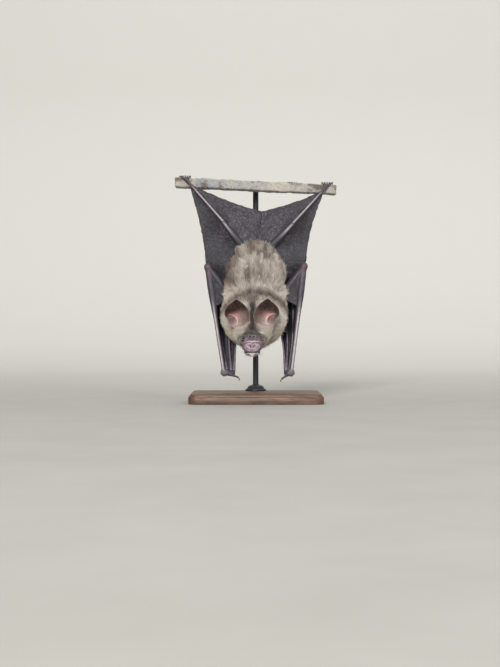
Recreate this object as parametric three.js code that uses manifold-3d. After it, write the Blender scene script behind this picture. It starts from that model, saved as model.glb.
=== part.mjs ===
// A life-size great roundleaf bat, hanging head-down by its spread feet with its wings folded
// and its head thrown back, on a plain display stand. Millimetres, +Z up, the bat's back to -Y.
// The origin is the middle of the base's underside.

import * as THREE from "three";
import { mergeVertices } from "three/addons/utils/BufferGeometryUtils.js";
import Module from "manifold-3d";

const wasm = await Module();
wasm.setup();

// ---- driving sizes ----------------------------------------------------------------------

const GAP = 0.3; // clearance between neighbouring pieces
const MEMBRANE = 0.8; // thickness of the wing and tail skin
const EAR_WALL = 0.9;

const BASE = { width: 108, depth: 78, height: 8, bevel: 1.5 };
const ROD = { radius: 2.4, y: 27, foot: 9, footHeight: 5 };
const PERCH = { length: 134, depth: 12, height: 8, y: 9.5, z: 178, slope: -2.7 };

// Centre and radii of the ruff of fur round the head: the widest part of the body.
const RUFF = { centre: [-1.6, 1, 70.3], across: 28, up: 28, back: 21, belly: 14 };
const NOSE = { x: -3.1, y: -33.5, z: 46 };
const EAR = { radius: 10, tip: 2.6, tipSpread: 0.34, depth: 15, root: 4.6 };

// The joints of each side's limbs. "side" is the direction out from the middle. "palm" is how far
// the folded hand reaches in from the wrist, "inner" the x of its inner edge half way up.
const LEFT = {
  side: -1,
  hip: [-9, 2, 125],
  knee: [-26.9, -4.5, 147.8],
  ankle: [-52.6, -1.5, 177.2],
  toes: [-57.8, 3.2, 183.6],
  shoulder: [-20, 3, 84],
  elbow: [-39.3, -2, 110],
  wrist: [-25.8, -5, 24.4],
  thumb: [-14.6, -5.5, 20.6],
  palm: 9,
  inner: -16.4,
  ear: [-15.4, -14, 70.4],
  eye: [-10.6, -27, 51.6],
};
const RIGHT = {
  side: 1,
  hip: [10, 2, 125],
  knee: [30.4, -4.5, 146.3],
  ankle: [53.6, -1.5, 171.8],
  toes: [58.4, 3.2, 178.2],
  shoulder: [20, 3, 84],
  elbow: [39.3, -2, 110.6],
  wrist: [28.6, -5, 24.4],
  thumb: [21.4, -5.5, 19.4],
  palm: 5.4,
  inner: 22,
  ear: [8.8, -14, 70.9],
  eye: [4.4, -27, 51.6],
};
const SIDES = { left: LEFT, right: RIGHT };
const TAIL = { root: [0, 3, 128], edge: [4.5, 0, 156.6], tip: [6, 8, 151] };

// ---- building blocks --------------------------------------------------------------------

const vec = (p) => new THREE.Vector3(...p);
const mix = THREE.MathUtils.lerp;

function solidOf(geometry) {
  geometry.deleteAttribute("normal");
  geometry.deleteAttribute("uv");
  const merged = mergeVertices(geometry, 1e-4);
  const mesh = new wasm.Mesh({
    numProp: 3,
    vertProperties: merged.attributes.position.array,
    triVerts: new Uint32Array(merged.index.array),
  });
  const solid = new wasm.Manifold(mesh);
  if (solid.volume() > 0) return solid;
  mesh.triVerts = mesh.triVerts.map((_, i, t) => t[i - (i % 3) + [0, 2, 1][i % 3]]);
  return new wasm.Manifold(mesh);
}

function indexed(points, triangles) {
  const geometry = new THREE.BufferGeometry();
  geometry.setFromPoints(points);
  geometry.setIndex(triangles);
  return geometry;
}

// A number that runs smoothly through the given values as t goes from 0 to 1.
function along(values, t) {
  const at = t * (values.length - 1);
  const i = Math.min(Math.floor(at), values.length - 2);
  const f = at - i;
  return mix(values[i], values[i + 1], f * f * (3 - 2 * f));
}

// A closed limb along a smooth path, with round ends. wide lies across "across", thick at right
// angles to it. Both run through their values from the first point to the last.
function limb(points, { wide, thick = wide, across = [0, 1, 0], sides = 8, steps = 7 }) {
  return (grow = 0) => {
    const path = new THREE.CatmullRomCurve3(points.map(vec), false, "centripetal");
    const ring = [];
    const triangles = [];
    const round = 0.3; // share of the first and last radius that the end rings keep
    const stations = [-1];
    for (let i = 0; i <= steps; i++) stations.push(i);
    stations.push(steps + 1);
    for (const i of stations) {
      const t = THREE.MathUtils.clamp(i / steps, 0, 1);
      const direction = path.getTangent(t);
      const u = vec(across).cross(direction).normalize();
      const v = direction.clone().cross(u).normalize();
      const beyond = i < 0 ? -1 : i > steps ? 1 : 0;
      const shrink = beyond ? round + 0.25 : 1;
      const rv = along(wide, t) + grow;
      const ru = along(thick, t) + grow;
      const centre = path.getPoint(t).addScaledVector(direction, beyond * Math.min(ru, rv) * 0.75);
      for (let k = 0; k < sides; k++) {
        const a = (2 * Math.PI * k) / sides;
        ring.push(
          centre
            .clone()
            .addScaledVector(v, Math.cos(a) * rv * shrink)
            .addScaledVector(u, Math.sin(a) * ru * shrink),
        );
      }
    }
    const rows = stations.length;
    for (let r = 0; r < rows - 1; r++)
      for (let k = 0; k < sides; k++) {
        const a = r * sides + k;
        const b = r * sides + ((k + 1) % sides);
        triangles.push(a, b, b + sides, a, b + sides, a + sides);
      }
    for (const [row, order] of [[0, 1], [rows - 1, -1]]) {
      const start = row * sides;
      for (let k = 1; k < sides - 1; k++)
        triangles.push(start, start + (order > 0 ? k + 1 : k), start + (order > 0 ? k : k + 1));
    }
    return solidOf(indexed(ring, triangles));
  };
}

// A rounded mass with its own radius towards +-X, towards the back, the belly, up and down.
function mass(centre, { across, back, belly = back, up, down = up, detail = [16, 10] }) {
  return (grow = 0) => {
    const geometry = new THREE.SphereGeometry(1, ...detail);
    const p = geometry.attributes.position;
    for (let i = 0; i < p.count; i++) {
      const [x, y, z] = [p.getX(i), p.getZ(i), p.getY(i)];
      p.setXYZ(
        i,
        centre[0] + x * (across + grow),
        centre[1] + y * ((y < 0 ? back : belly) + grow),
        centre[2] + z * ((z > 0 ? up : down) + grow),
      );
    }
    return solidOf(geometry);
  };
}

// A thin skin between two or more border curves, sagging by "sag" towards the belly between them.
function sheet(borders, { columns = 12, rows = 4, sag = 0 }) {
  return (grow = 0) => {
    const lines = (borders.length - 1) * rows;
    const middle = [];
    for (let i = 0; i <= columns; i++)
      for (let j = 0; j <= lines; j++) {
        const band = Math.min(Math.floor(j / rows), borders.length - 2);
        const s = j / rows - band;
        const point = borders[band](i / columns).lerp(borders[band + 1](i / columns), s);
        point.y += sag * 4 * s * (1 - s) * Math.sin((Math.PI * i) / columns) ** 0.5;
        middle.push(point);
      }
    const at = (i, j) =>
      middle[
        THREE.MathUtils.clamp(i, 0, columns) * (lines + 1) + THREE.MathUtils.clamp(j, 0, lines)
      ];
    const front = [];
    const rear = [];
    for (let i = 0; i <= columns; i++)
      for (let j = 0; j <= lines; j++) {
        const du = at(i + 1, j).clone().sub(at(i - 1, j));
        const dv = at(i, j + 1).clone().sub(at(i, j - 1));
        const spread = at(i, j).clone();
        spread.addScaledVector(du.normalize(), i === 0 ? -grow : i === columns ? grow : 0);
        spread.addScaledVector(dv.normalize(), j === 0 ? -grow : j === lines ? grow : 0);
        const normal = du.cross(dv).normalize();
        front.push(spread.clone().addScaledVector(normal, MEMBRANE / 2 + grow));
        rear.push(spread.addScaledVector(normal, -MEMBRANE / 2 - grow));
      }
    const offset = front.length;
    const id = (i, j) => i * (lines + 1) + j;
    const triangles = [];
    const quad = (a, b, c, d) => triangles.push(a, b, c, a, c, d);
    for (let i = 0; i < columns; i++)
      for (let j = 0; j < lines; j++) {
        quad(id(i, j), id(i + 1, j), id(i + 1, j + 1), id(i, j + 1));
        const [a, b] = [id(i, j) + offset, id(i, j + 1) + offset];
        quad(a, b, id(i + 1, j + 1) + offset, id(i + 1, j) + offset);
      }
    for (let i = 0; i < columns; i++)
      for (const [j, turn] of [[0, 0], [lines, 1]]) {
        const [a, b] = turn ? [id(i, j), id(i + 1, j)] : [id(i + 1, j), id(i, j)];
        quad(a, b, b + offset, a + offset);
      }
    for (let j = 0; j < lines; j++)
      for (const [i, turn] of [[0, 1], [columns, 0]]) {
        const [a, b] = turn ? [id(i, j), id(i, j + 1)] : [id(i, j + 1), id(i, j)];
        quad(a, b, b + offset, a + offset);
      }
    return solidOf(indexed([...front, ...rear], triangles));
  };
}

const curve = (...points) => {
  const path = new THREE.CatmullRomCurve3(points.map(vec), false, "centripetal");
  return (t) => path.getPoint(t);
};

// A free edge: from one point to another, bowed in by "bow" towards a third.
function freeEdge(from, to, inside, bow) {
  const middle = vec(from).add(vec(to)).multiplyScalar(0.5);
  const pull = vec(inside).sub(middle).normalize().multiplyScalar(2 * bow);
  const edge = new THREE.QuadraticBezierCurve3(vec(from), middle.add(pull), vec(to));
  return (t) => edge.getPoint(t);
}

const joined = (...makers) => (grow = 0) =>
  makers.map((make) => make(grow)).reduce((a, b) => a.add(b));
const carved = (make, ...tools) => (grow = 0) =>
  tools.reduce((solid, tool) => solid.subtract(tool(0)), make(grow));

// ---- body and head ----------------------------------------------------------------------

// From the rump down to the shoulders, out to the tips of the coat.
const trunk = limb(
  [[-0.4, 2, 134], [-0.2, 1.5, 120], [0, 0, 104], [-0.8, 0, 88], [-1.4, 1, 76]],
  {
    wide: [8, 19.5, 25.5, 27.5, 26],
    thick: [6, 13, 17.5, 18, 15],
    across: [1, 0, 0],
    sides: 16,
    steps: 6,
  },
);

const ruff = mass(RUFF.centre, RUFF);

// The skull and cheeks run forward and down from inside the ruff to the muzzle.
const skull = limb(
  [[-1.8, 1, 73], [-2, -8, 69], [-2.4, -15.5, 62], [-2.9, -21.5, 54.5], [-3.1, -25.5, 48.8]],
  {
    wide: [14, 17.5, 16, 11.4, 8.6],
    thick: [12, 15, 14.5, 9.8, 7.4],
    across: [1, 0, 0],
    sides: 14,
    steps: 5,
  },
);

const lowerJaw = mass([NOSE.x, NOSE.y + 7.6, NOSE.z - 4.6], {
  across: 6.4, back: 7, belly: 9, up: 3.4, down: 3.6, detail: [12, 7],
});

// A flat leaf of bare skin facing the back, with a rounded rim: an outline of arcs, extruded.
function leaf(outline, front, thickness) {
  return (grow = 0) => {
    const shape = outline(grow);
    const geometry = new THREE.ExtrudeGeometry(shape, {
      depth: thickness + 2 * grow, bevelEnabled: false, curveSegments: 9,
    });
    geometry.rotateX(Math.PI / 2);
    geometry.translate(NOSE.x, front + thickness + grow, NOSE.z);
    return solidOf(geometry);
  };
}

// The horseshoe round the nostrils, wider below than above.
const horseshoe = leaf((grow) => {
  const shape = new THREE.Shape();
  shape.absellipse(0, -0.4, 8.1 + grow, 5.4 + grow, Math.PI, 2 * Math.PI, false);
  shape.absellipse(0, -0.4, 8.1 + grow, 4.4 + grow, 0, Math.PI, false);
  return shape;
}, NOSE.y, 3);

// The upright leaf behind it, a low arch across the forehead.
const backLeaf = leaf((grow) => {
  const shape = new THREE.Shape();
  shape.absellipse(0, 4.9, 6.3 + grow, 3.3 + grow, 0, Math.PI, false);
  shape.lineTo(-6.3 - grow, 4.5 - grow);
  shape.lineTo(6.3 + grow, 4.5 - grow);
  return shape;
}, NOSE.y + 1.2, 2);

// One point of an ear's cup. "angle" goes round the opening, 90 degrees at the tip, and "out"
// from 0 at the root of the cup to 1 at its rim.
function earPoint(joint, angle, out, inset) {
  const away = Math.abs(Math.atan2(Math.sin(angle - Math.PI / 2), Math.cos(angle - Math.PI / 2)));
  const rim = EAR.radius + EAR.tip * Math.exp(-away / EAR.tipSpread) - inset;
  const radius = mix(EAR.root - inset, rim, Math.sin((Math.PI / 2) * out) ** 0.8);
  const forward = EAR.depth + 4.5 * Math.max(0, Math.sin(angle)) - 2.5 * Math.max(0, Math.cos(angle));
  const reach = forward * (1 - Math.cos((Math.PI / 2) * out)) ** 0.9;
  const [x, y, z] = joint.ear;
  return new THREE.Vector3(
    x + joint.side * Math.cos(angle) * radius * 0.97,
    y - inset * (1 - out) * 1.2 - reach + 1.5,
    z + Math.sin(angle) * radius * 1.03,
  );
}

// The cup as a closed mass, its mouth stretched past the rim by "past".
function earCup(joint, inset, past = 0) {
  return (grow = 0) => {
    const [around, deep] = [18, 4];
    const points = [];
    for (let r = 0; r <= deep; r++)
      for (let k = 0; k < around; k++)
        points.push(earPoint(joint, (2 * Math.PI * k) / around + Math.PI / 2, r / deep, inset - grow));
    if (past)
      for (let k = 0; k < around; k++)
        points.push(points[deep * around + k].clone().add(new THREE.Vector3(0, -past, 0)));
    const rows = points.length / around;
    const root = new THREE.Vector3();
    for (let k = 0; k < around; k++) root.addScaledVector(points[k], 1 / around);
    const mouth = new THREE.Vector3();
    for (let k = 0; k < around; k++) mouth.addScaledVector(points[(rows - 1) * around + k], 1 / around);
    points.push(root, mouth);
    const triangles = [];
    for (let r = 0; r < rows - 1; r++)
      for (let k = 0; k < around; k++) {
        const a = r * around + k;
        const b = r * around + ((k + 1) % around);
        triangles.push(a, b, b + around, a, b + around, a + around);
      }
    for (let k = 0; k < around; k++) {
      const next = (k + 1) % around;
      triangles.push(rows * around, next, k);
      triangles.push(rows * around + 1, (rows - 1) * around + k, (rows - 1) * around + next);
    }
    return solidOf(indexed(points, triangles));
  };
}

// ---- limbs ------------------------------------------------------------------------------

const between = (a, b, t) => a.map((value, i) => mix(value, b[i], t));
const shifted = (p, dx, dy, dz) => [p[0] + dx, p[1] + dy, p[2] + dz];

function hindLimb(side, name, joint) {
  const out = joint.side;
  const { hip, knee, ankle, toes } = joint;
  const round = { sides: 7, steps: 3 };
  const thigh = limb([hip, between(hip, knee, 0.5), knee], { wide: [4.2, 3.4, 1.7], ...round });
  const shank = limb([knee, between(knee, ankle, 0.5), ankle], { wide: [1.6, 1.35, 1.3], ...round });
  const sole = limb([ankle, between(ankle, toes, 0.55), toes], {
    wide: [1.4, 1.8, 2.3], thick: [1.3, 1.5, 1.4], across: [1, 0, 0], sides: 6, steps: 3,
  });
  // Five toes fan out over the top of the perch and end in hooked claws.
  const foot = [sole];
  const claws = [];
  const toeCount = 5;
  for (let i = 0; i < toeCount; i++) {
    const fan = i - (toeCount - 1) / 2;
    const knuckle = shifted(toes, fan * 1.15, 0.2, 0.2);
    const bend = shifted(toes, fan * 1.75 + out * 0.4, 2.2, 2.4);
    const tip = shifted(toes, fan * 2.05 + out * 0.7, 5, 2.6);
    foot.push(limb([knuckle, bend, tip], { wide: [0.8, 0.7, 0.6], sides: 5, steps: 2 }));
    claws.push([
      `hind_claw_${name}_${i + 1}`,
      limb([shifted(tip, 0, 0.7, 0), shifted(tip, 0, 2.5, -0.3), shifted(tip, 0, 3.6, -2)], {
        wide: [0.55, 0.5, 0.3], sides: 5, steps: 2,
      }),
    ]);
  }
  return { thigh, shank, foot: joined(...foot), claws };
}

// The folded wing: the upper arm up to the elbow, the forearm down to the wrist, and the long
// finger bones back up against the belly.
function foreLimb(joint) {
  const { side, shoulder, elbow, wrist, thumb } = joint;
  const upperArm = limb([shoulder, between(shoulder, elbow, 0.5), elbow], { wide: [5, 4, 2.6], steps: 4 });
  const belly = between(elbow, wrist, 0.22);
  const forearm = limb([elbow, belly, between(elbow, wrist, 0.6), wrist], {
    wide: [2.7, 3.1, 1.7, 1.7], sides: 7, steps: 7,
  });
  const hand = mass(wrist, { across: 3.3, back: 2.3, up: 3.2, down: 2.9, detail: [9, 6] });
  const base = between(wrist, thumb, 0.3);
  const joint2 = between(wrist, thumb, 0.72);
  const thumbBone = limb([base, joint2, thumb], { wide: [1.5, 1, 0.75], sides: 6, steps: 3 });
  const hook = [
    shifted(thumb, -side * 0.2, 0, -0.6),
    shifted(thumb, -side * 1.1, 0.9, -1.9),
    shifted(thumb, -side * 0.8, 2.2, -2.7),
  ];
  const thumbClaw = limb(hook, { wide: [0.6, 0.5, 0.3], sides: 5, steps: 2 });
  return { upperArm, forearm, hand, thumbBone, thumbClaw };
}

// A place half way up the folded hand, from its inner edge at 0 to the fifth finger at 1.
function handMiddle({ side, inner }, share, y, z) {
  return [mix(inner, side * 29.6 + 1, share), y, z];
}

// The third to fifth fingers, folded up along the belly from the wrist.
function fingers(joint) {
  const { side, wrist, palm } = joint;
  const finger = (start, middle, end) =>
    limb([shifted(wrist, ...start), middle, end], { wide: [1.1, 0.85, 0.95], sides: 5, steps: 4 });
  return joined(
    finger([-side * (palm - 1.2), 3.2, 2.5], handMiddle(joint, 0, 8.4, 50), [side * 13.5, 20.5, 94]),
    finger([-side * palm * 0.62, 3.8, 3], handMiddle(joint, 0.48, 10, 52), [side * 21.5, 19.5, 96]),
    finger([-side * palm * 0.2, 3.4, 3], handMiddle(joint, 1, 8.2, 56), [side * 31.5, 13.4, 98]),
  );
}

// ---- wing and tail skin -----------------------------------------------------------------

function membranes(joint, lift) {
  const { side, hip, knee, ankle, elbow, wrist, shoulder } = joint;
  const flank = curve(
    shifted(ankle, side * 0.4, 1, -1.2), knee, shifted(hip, side * 2, 0, 2),
    [side * 20, 2, 114], [side * 24, 5, 100], [side * 24, 9, 90],
  );
  const trailing = curve(
    shifted(ankle, side * 0.9, 1, -2), [side * 46.6, 1, 148 + lift], [side * 42.6, 2, 128],
    shifted(elbow, side * 1.2, 3.6, 2.5), [side * 36.6, 9.5, 102.5], [side * 32.6, 14.6, 97],
  );
  const wing = sheet([flank, trailing], { columns: 10, rows: 3, sag: 2.2 });
  const legLine = curve(
    shifted(ankle, -side * 0.3, 0, -0.6), knee, shifted(hip, -side * 1, 0, 0), [0, 2, 126],
  );
  const tailEdge = freeEdge(shifted(ankle, -side * 0.6, 0.4, 0.6), TAIL.edge, [0, 1, 130], 2.6);
  const tailWing = sheet([legLine, tailEdge], { columns: 9, rows: 3, sag: 1.6 });
  const inElbow = curve(elbow, between(elbow, shoulder, 0.5), between(elbow, shoulder, 0.95));
  const onForearm = curve(shifted(elbow, 0, 0, -2), between(elbow, wrist, 0.2), between(elbow, wrist, 0.38));
  const armWeb = sheet([inElbow, onForearm], { columns: 5, rows: 2, sag: 1 });
  return { wing, tailWing, armWeb };
}

// The skin of the hand wing, pleated between the fingers and up to the forearm. Its lower end
// closes behind the thumb.
function handWing(joint) {
  const { side, wrist, elbow, palm } = joint;
  const line = (share, depth, middle, top) => curve(
    shifted(wrist, side * mix(-palm, 1.6, share), depth, mix(0.6, 3, share)),
    handMiddle(joint, share, ...middle),
    [side * top[0], top[1], top[2]],
  );
  const arm = curve(
    shifted(wrist, side * 0.8, 0.5, 4),
    shifted(between(wrist, elbow, 0.45), 0, 1, 0),
    shifted(between(wrist, elbow, 0.86), 0, 2, 0),
  );
  const lines = [
    line(0, 3.4, [8.4, 50], [13.8, 20, 92]),
    line(0.25, 4.6, [12.4, 51], [17.6, 23, 93]),
    line(0.48, 3.9, [10, 52], [21.5, 19.2, 94]),
    line(0.76, 4.4, [12.2, 54], [26.8, 20, 95]),
    line(1, 3.5, [8.2, 56], [31.5, 13.1, 96]),
    arm,
  ];
  return joined(sheet(lines, { columns: 5, rows: 1 }), fingers(joint));
}

// ---- stand ------------------------------------------------------------------------------

function standBase() {
  const { width, depth, height, bevel } = BASE;
  const [w, d, r] = [width / 2 - bevel, depth / 2 - bevel, 8];
  const shape = new THREE.Shape();
  shape.absarc(w - r, d - r, r, 0, Math.PI / 2, false);
  shape.absarc(-w + r, d - r, r, Math.PI / 2, Math.PI, false);
  shape.absarc(-w + r, -d + r, r, Math.PI, 1.5 * Math.PI, false);
  shape.absarc(w - r, -d + r, r, 1.5 * Math.PI, 2 * Math.PI, false);
  const geometry = new THREE.ExtrudeGeometry(shape, {
    depth: height - 2 * bevel, bevelThickness: bevel, bevelSize: bevel, bevelSegments: 1, curveSegments: 4,
  });
  return solidOf(geometry.translate(0, 0, bevel));
}

// The rod stands behind the bat, on a collar, and bends forward into the back of the perch.
function standRod(grow) {
  const { radius, y, foot, footHeight } = ROD;
  const bottom = BASE.height + GAP - grow;
  const top = PERCH.z;
  const bend = 9;
  const path = [
    [0, y, bottom + radius], [0, y, top - bend], [0, y - bend * 0.29, top - bend * 0.29],
    [0, y - bend, top], [0, PERCH.y + 3, top],
  ];
  const tube = limb(path, { wide: [radius, radius], across: [1, 0, 0], sides: 12, steps: 8 });
  const collar = new THREE.CylinderGeometry(foot * 0.72 + grow, foot + grow, footHeight + grow, 18);
  collar.rotateX(Math.PI / 2).translate(0, y, bottom + (footHeight + grow) / 2);
  return tube(grow).add(solidOf(collar));
}

// A short strip of rock with rough, uneven sides, tipped a little, as the feet are.
function standPerch(grow) {
  const { length, depth, height, y, z, slope } = PERCH;
  const size = [length, depth, height].map((side) => side + 2 * grow);
  const geometry = new THREE.BoxGeometry(...size, 16, 2, 2);
  const p = geometry.attributes.position;
  for (let i = 0; i < p.count; i++) {
    const [px, py, pz] = [p.getX(i), p.getY(i), p.getZ(i)];
    const rough = 0.4 * Math.sin(px * 0.61 + py * 0.3) + 0.3 * Math.sin(px * 1.37 + pz * 0.4);
    const edge = Math.abs(py) > depth * 0.4 && Math.abs(pz) > height * 0.4 ? 0.86 : 1;
    p.setXYZ(i, px, py * edge + rough * 0.8, pz * edge + rough * 0.6);
  }
  geometry.rotateY(THREE.MathUtils.degToRad(-slope)).translate(0, y, z);
  return solidOf(geometry);
}

// ---- the whole model --------------------------------------------------------------------

const FUR = { color: 0xa0938a, roughness: 0.95, metalness: 0 };
const SKIN = { color: 0x55505a, roughness: 0.7, metalness: 0 };
const LIMB = { color: 0x77686f, roughness: 0.6, metalness: 0 };
const FACE = { color: 0xa8949c, roughness: 0.5, metalness: 0 };
const HORN = { color: 0x2c2826, roughness: 0.35, metalness: 0 };
const EYES = { color: 0x0a0807, roughness: 0.1, metalness: 0 };
const METAL = { color: 0x2a2a2c, roughness: 0.4, metalness: 0.8 };
const STONE = { color: 0xb9b5a6, roughness: 0.9, metalness: 0 };
const WOOD = { color: 0x3a2d24, roughness: 0.5, metalness: 0 };

// In order of rank: each piece is cut back from all those before it, with the gap between them.
const pieces = [];
const add = (name, make, look) => pieces.push({ name, make, look });

add("stand_base", standBase, WOOD);
add("stand_rod", standRod, METAL);
add("stand_perch", standPerch, STONE);
for (const [name, joint] of Object.entries(SIDES)) {
  add(`eye_${name}`, mass(joint.eye, { across: 1.5, back: 1.5, up: 1.5, detail: [10, 6] }), EYES);
  add(`ear_${name}`, carved(earCup(joint, 0), earCup(joint, EAR_WALL, 4)), LIMB);
}
add("noseleaf_front", horseshoe, FACE);
add("noseleaf_back", backLeaf, FACE);
add("lower_jaw", lowerJaw, FACE);
add("head", skull, FUR);
add("neck", ruff, FUR);
add("trunk", trunk, FUR);
add("tail", limb([TAIL.root, TAIL.edge, TAIL.tip], { wide: [1.7, 1.2, 0.6], sides: 6, steps: 4 }), LIMB);
for (const [name, joint] of Object.entries(SIDES)) {
  const { thigh, shank, foot, claws } = hindLimb(joint.side, name, joint);
  for (const [clawName, claw] of claws) add(clawName, claw, HORN);
  add(`foot_${name}`, foot, SKIN);
  add(`thigh_${name}`, thigh, LIMB);
  add(`shank_${name}`, shank, LIMB);
  const arm = foreLimb(joint);
  add(`thumb_claw_${name}`, arm.thumbClaw, HORN);
  add(`thumb_${name}`, arm.thumbBone, LIMB);
  add(`hand_${name}`, arm.hand, LIMB);
  add(`upper_arm_${name}`, arm.upperArm, LIMB);
  add(`forearm_${name}`, arm.forearm, LIMB);
}
for (const [name, joint] of Object.entries(SIDES)) {
  const skins = membranes(joint, joint === LEFT ? 1 : -1);
  add(`wing_membrane_${name}`, skins.wing, SKIN);
  add(`tail_membrane_${name}`, skins.tailWing, SKIN);
  add(`arm_membrane_${name}`, skins.armWeb, SKIN);
  add(`hand_wing_${name}`, handWing(joint), SKIN);
}

// The filled cup of an ear keeps the head's fur out of it, though the ear itself is open.
const fillers = {
  ear_left: earCup(LEFT, 0, 12),
  ear_right: earCup(RIGHT, 0, 12),
};

const largest = (solid) =>
  solid.decompose().reduce((best, one) => (one.volume() > best.volume() ? one : best));

function boxesMeet(a, b) {
  const [p, q] = [a.boundingBox(), b.boundingBox()];
  return [0, 1, 2].every((i) => p.min[i] < q.max[i] && q.min[i] < p.max[i]);
}

const bat = new THREE.Group();
const keepOut = [];
for (const { name, make, look } of pieces) {
  let solid = make(0);
  for (const blocked of keepOut) if (boxesMeet(solid, blocked)) solid = solid.subtract(blocked);
  solid = largest(solid);
  keepOut.push(fillers[name] ? fillers[name](GAP) : make(GAP));
  const mesh = solid.getMesh();
  const geometry = new THREE.BufferGeometry();
  geometry.setAttribute("position", new THREE.BufferAttribute(mesh.vertProperties, 3));
  geometry.setIndex(new THREE.BufferAttribute(mesh.triVerts, 1));
  const shown = new THREE.Mesh(geometry, new THREE.MeshStandardMaterial(look));
  shown.name = name;
  bat.add(shown);
}

export default bat;
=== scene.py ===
"""A great roundleaf bat hanging head-down on its display stand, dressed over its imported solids."""

import math

import bmesh
import bpy
import numpy as np
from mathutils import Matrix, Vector
from mathutils.kdtree import KDTree


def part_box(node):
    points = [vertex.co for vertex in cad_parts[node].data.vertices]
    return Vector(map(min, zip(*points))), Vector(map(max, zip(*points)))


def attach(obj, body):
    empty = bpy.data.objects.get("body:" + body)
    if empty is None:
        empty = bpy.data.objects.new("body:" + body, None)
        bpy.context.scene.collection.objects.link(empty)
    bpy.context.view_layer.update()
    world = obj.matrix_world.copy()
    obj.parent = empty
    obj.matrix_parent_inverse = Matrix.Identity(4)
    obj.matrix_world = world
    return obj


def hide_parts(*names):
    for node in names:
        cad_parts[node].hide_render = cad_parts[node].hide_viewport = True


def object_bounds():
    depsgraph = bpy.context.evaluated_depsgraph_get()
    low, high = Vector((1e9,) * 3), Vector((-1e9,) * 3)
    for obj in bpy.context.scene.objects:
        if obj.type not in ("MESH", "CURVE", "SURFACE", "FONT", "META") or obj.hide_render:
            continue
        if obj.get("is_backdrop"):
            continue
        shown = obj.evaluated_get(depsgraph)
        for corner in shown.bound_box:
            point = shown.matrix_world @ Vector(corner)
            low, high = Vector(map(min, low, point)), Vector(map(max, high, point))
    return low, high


bl_info = {
    "name": "Hanging roundleaf bat",
    "version": (1, 0, 0),
    "blender": (4, 5, 0),
    "location": "View3D > Sidebar > Bat",
    "description": "Builds the skin, wings, coat and stand of a hanging roundleaf bat",
    "category": "Mesh",
}

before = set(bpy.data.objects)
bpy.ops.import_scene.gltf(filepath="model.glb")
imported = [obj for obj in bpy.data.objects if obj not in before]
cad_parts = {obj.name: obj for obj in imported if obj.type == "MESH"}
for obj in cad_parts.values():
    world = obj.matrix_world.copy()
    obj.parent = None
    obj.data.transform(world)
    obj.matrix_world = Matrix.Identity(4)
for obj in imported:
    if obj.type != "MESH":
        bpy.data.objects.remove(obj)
SOLIDS_BOX = [list(corner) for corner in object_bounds()]

# ---- the animal's plan, in millimetres ----------------------------------------------------

JOINTS = {
    "left": {
        "side": -1, "hip": (-9, 2, 125), "knee": (-26.9, -4.5, 147.8), "ankle": (-52.6, -1.5, 177.2),
        "toes": (-57.8, 3.2, 183.6), "shoulder": (-20, 3, 84), "elbow": (-39.3, -2, 110),
        "wrist": (-25.8, -5, 24.4), "thumb": (-14.6, -5.5, 20.6), "ear": (-15.4, -14, 70.4),
        "lift": 1, "palm": 9, "inner": -16.4,
    },
    "right": {
        "side": 1, "hip": (10, 2, 125), "knee": (30.4, -4.5, 146.3), "ankle": (53.6, -1.5, 171.8),
        "toes": (58.4, 3.2, 178.2), "shoulder": (20, 3, 84), "elbow": (39.3, -2, 110.6),
        "wrist": (28.6, -5, 24.4), "thumb": (21.4, -5.5, 19.4), "ear": (8.8, -14, 70.9),
        "lift": -1, "palm": 5.4, "inner": 22,
    },
}
NOSE = np.array((-3.1, -33.5, 46.0))
RUFF = np.array((-1.6, 1.0, 70.3))
TAIL_ROOT, TAIL_BEND, TAIL_TIP = (0, 2, 126), (4.5, 0, 156.6), (6, 8, 151)


def solid_box(node):
    """The lowest and highest corners of a solid, in millimetres."""
    return [np.array(corner) * 1000 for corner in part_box(node)]


def solid_middle(node):
    low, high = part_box(node)
    return np.array([(a + b) * 500 for a, b in zip(low, high)])


def parts_of(joint, names):
    return [joint[name] for name in names.split()]


# ---- points, paths and noise --------------------------------------------------------------


def unit(v):
    return v / np.maximum(np.linalg.norm(v, axis=-1, keepdims=True), 1e-9)


def smooth(low, high, x):
    t = np.clip((x - low) / (high - low), 0, 1)
    return t * t * (3 - 2 * t)


def between(a, b, t):
    return tuple(np.asarray(a, float) * (1 - t) + np.asarray(b, float) * t)


def shifted(p, dx, dy, dz):
    return (p[0] + dx, p[1] + dy, p[2] + dz)


def spline(points, count):
    """Points along the smooth path through the given ones, an equal number between each two."""
    p = np.asarray(points, float)
    p = np.vstack([2 * p[0] - p[1], p, 2 * p[-1] - p[-2]])
    t = np.linspace(0, len(points) - 1, count)
    i = np.minimum(t.astype(int), len(points) - 2)
    f = (t - i)[:, None]
    a, b, c, d = p[i], p[i + 1], p[i + 2], p[i + 3]
    before, here, after = (
        np.sqrt(np.linalg.norm(q - r, axis=1, keepdims=True)) for q, r in ((b, a), (c, b), (d, c))
    )
    start = ((b - a) / before - (c - a) / (before + here) + (c - b) / here) * here
    end = ((c - b) / here - (d - b) / (here + after) + (d - c) / after) * here
    return (
        (2 * f**3 - 3 * f**2 + 1) * b + (f**3 - 2 * f**2 + f) * start
        + (3 * f**2 - 2 * f**3) * c + (f**3 - f**2) * end
    )


def profile(values, count):
    """Numbers that run smoothly through the given ones."""
    t = np.linspace(0, len(values) - 1, count)
    i = np.minimum(t.astype(int), len(values) - 2)
    f = t - i
    f = f * f * (3 - 2 * f)
    v = np.asarray(values, float)
    return v[i] * (1 - f) + v[i + 1] * f


def lattice(x, y, z):
    h = (x * 374761393 + y * 668265263 + z * 1274126177) & 0x7FFFFFFF
    h = ((h ^ (h >> 13)) * 1103515245) & 0x7FFFFFFF
    return ((h ^ (h >> 16)) & 0xFFFF) / 32767.5 - 1


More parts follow.
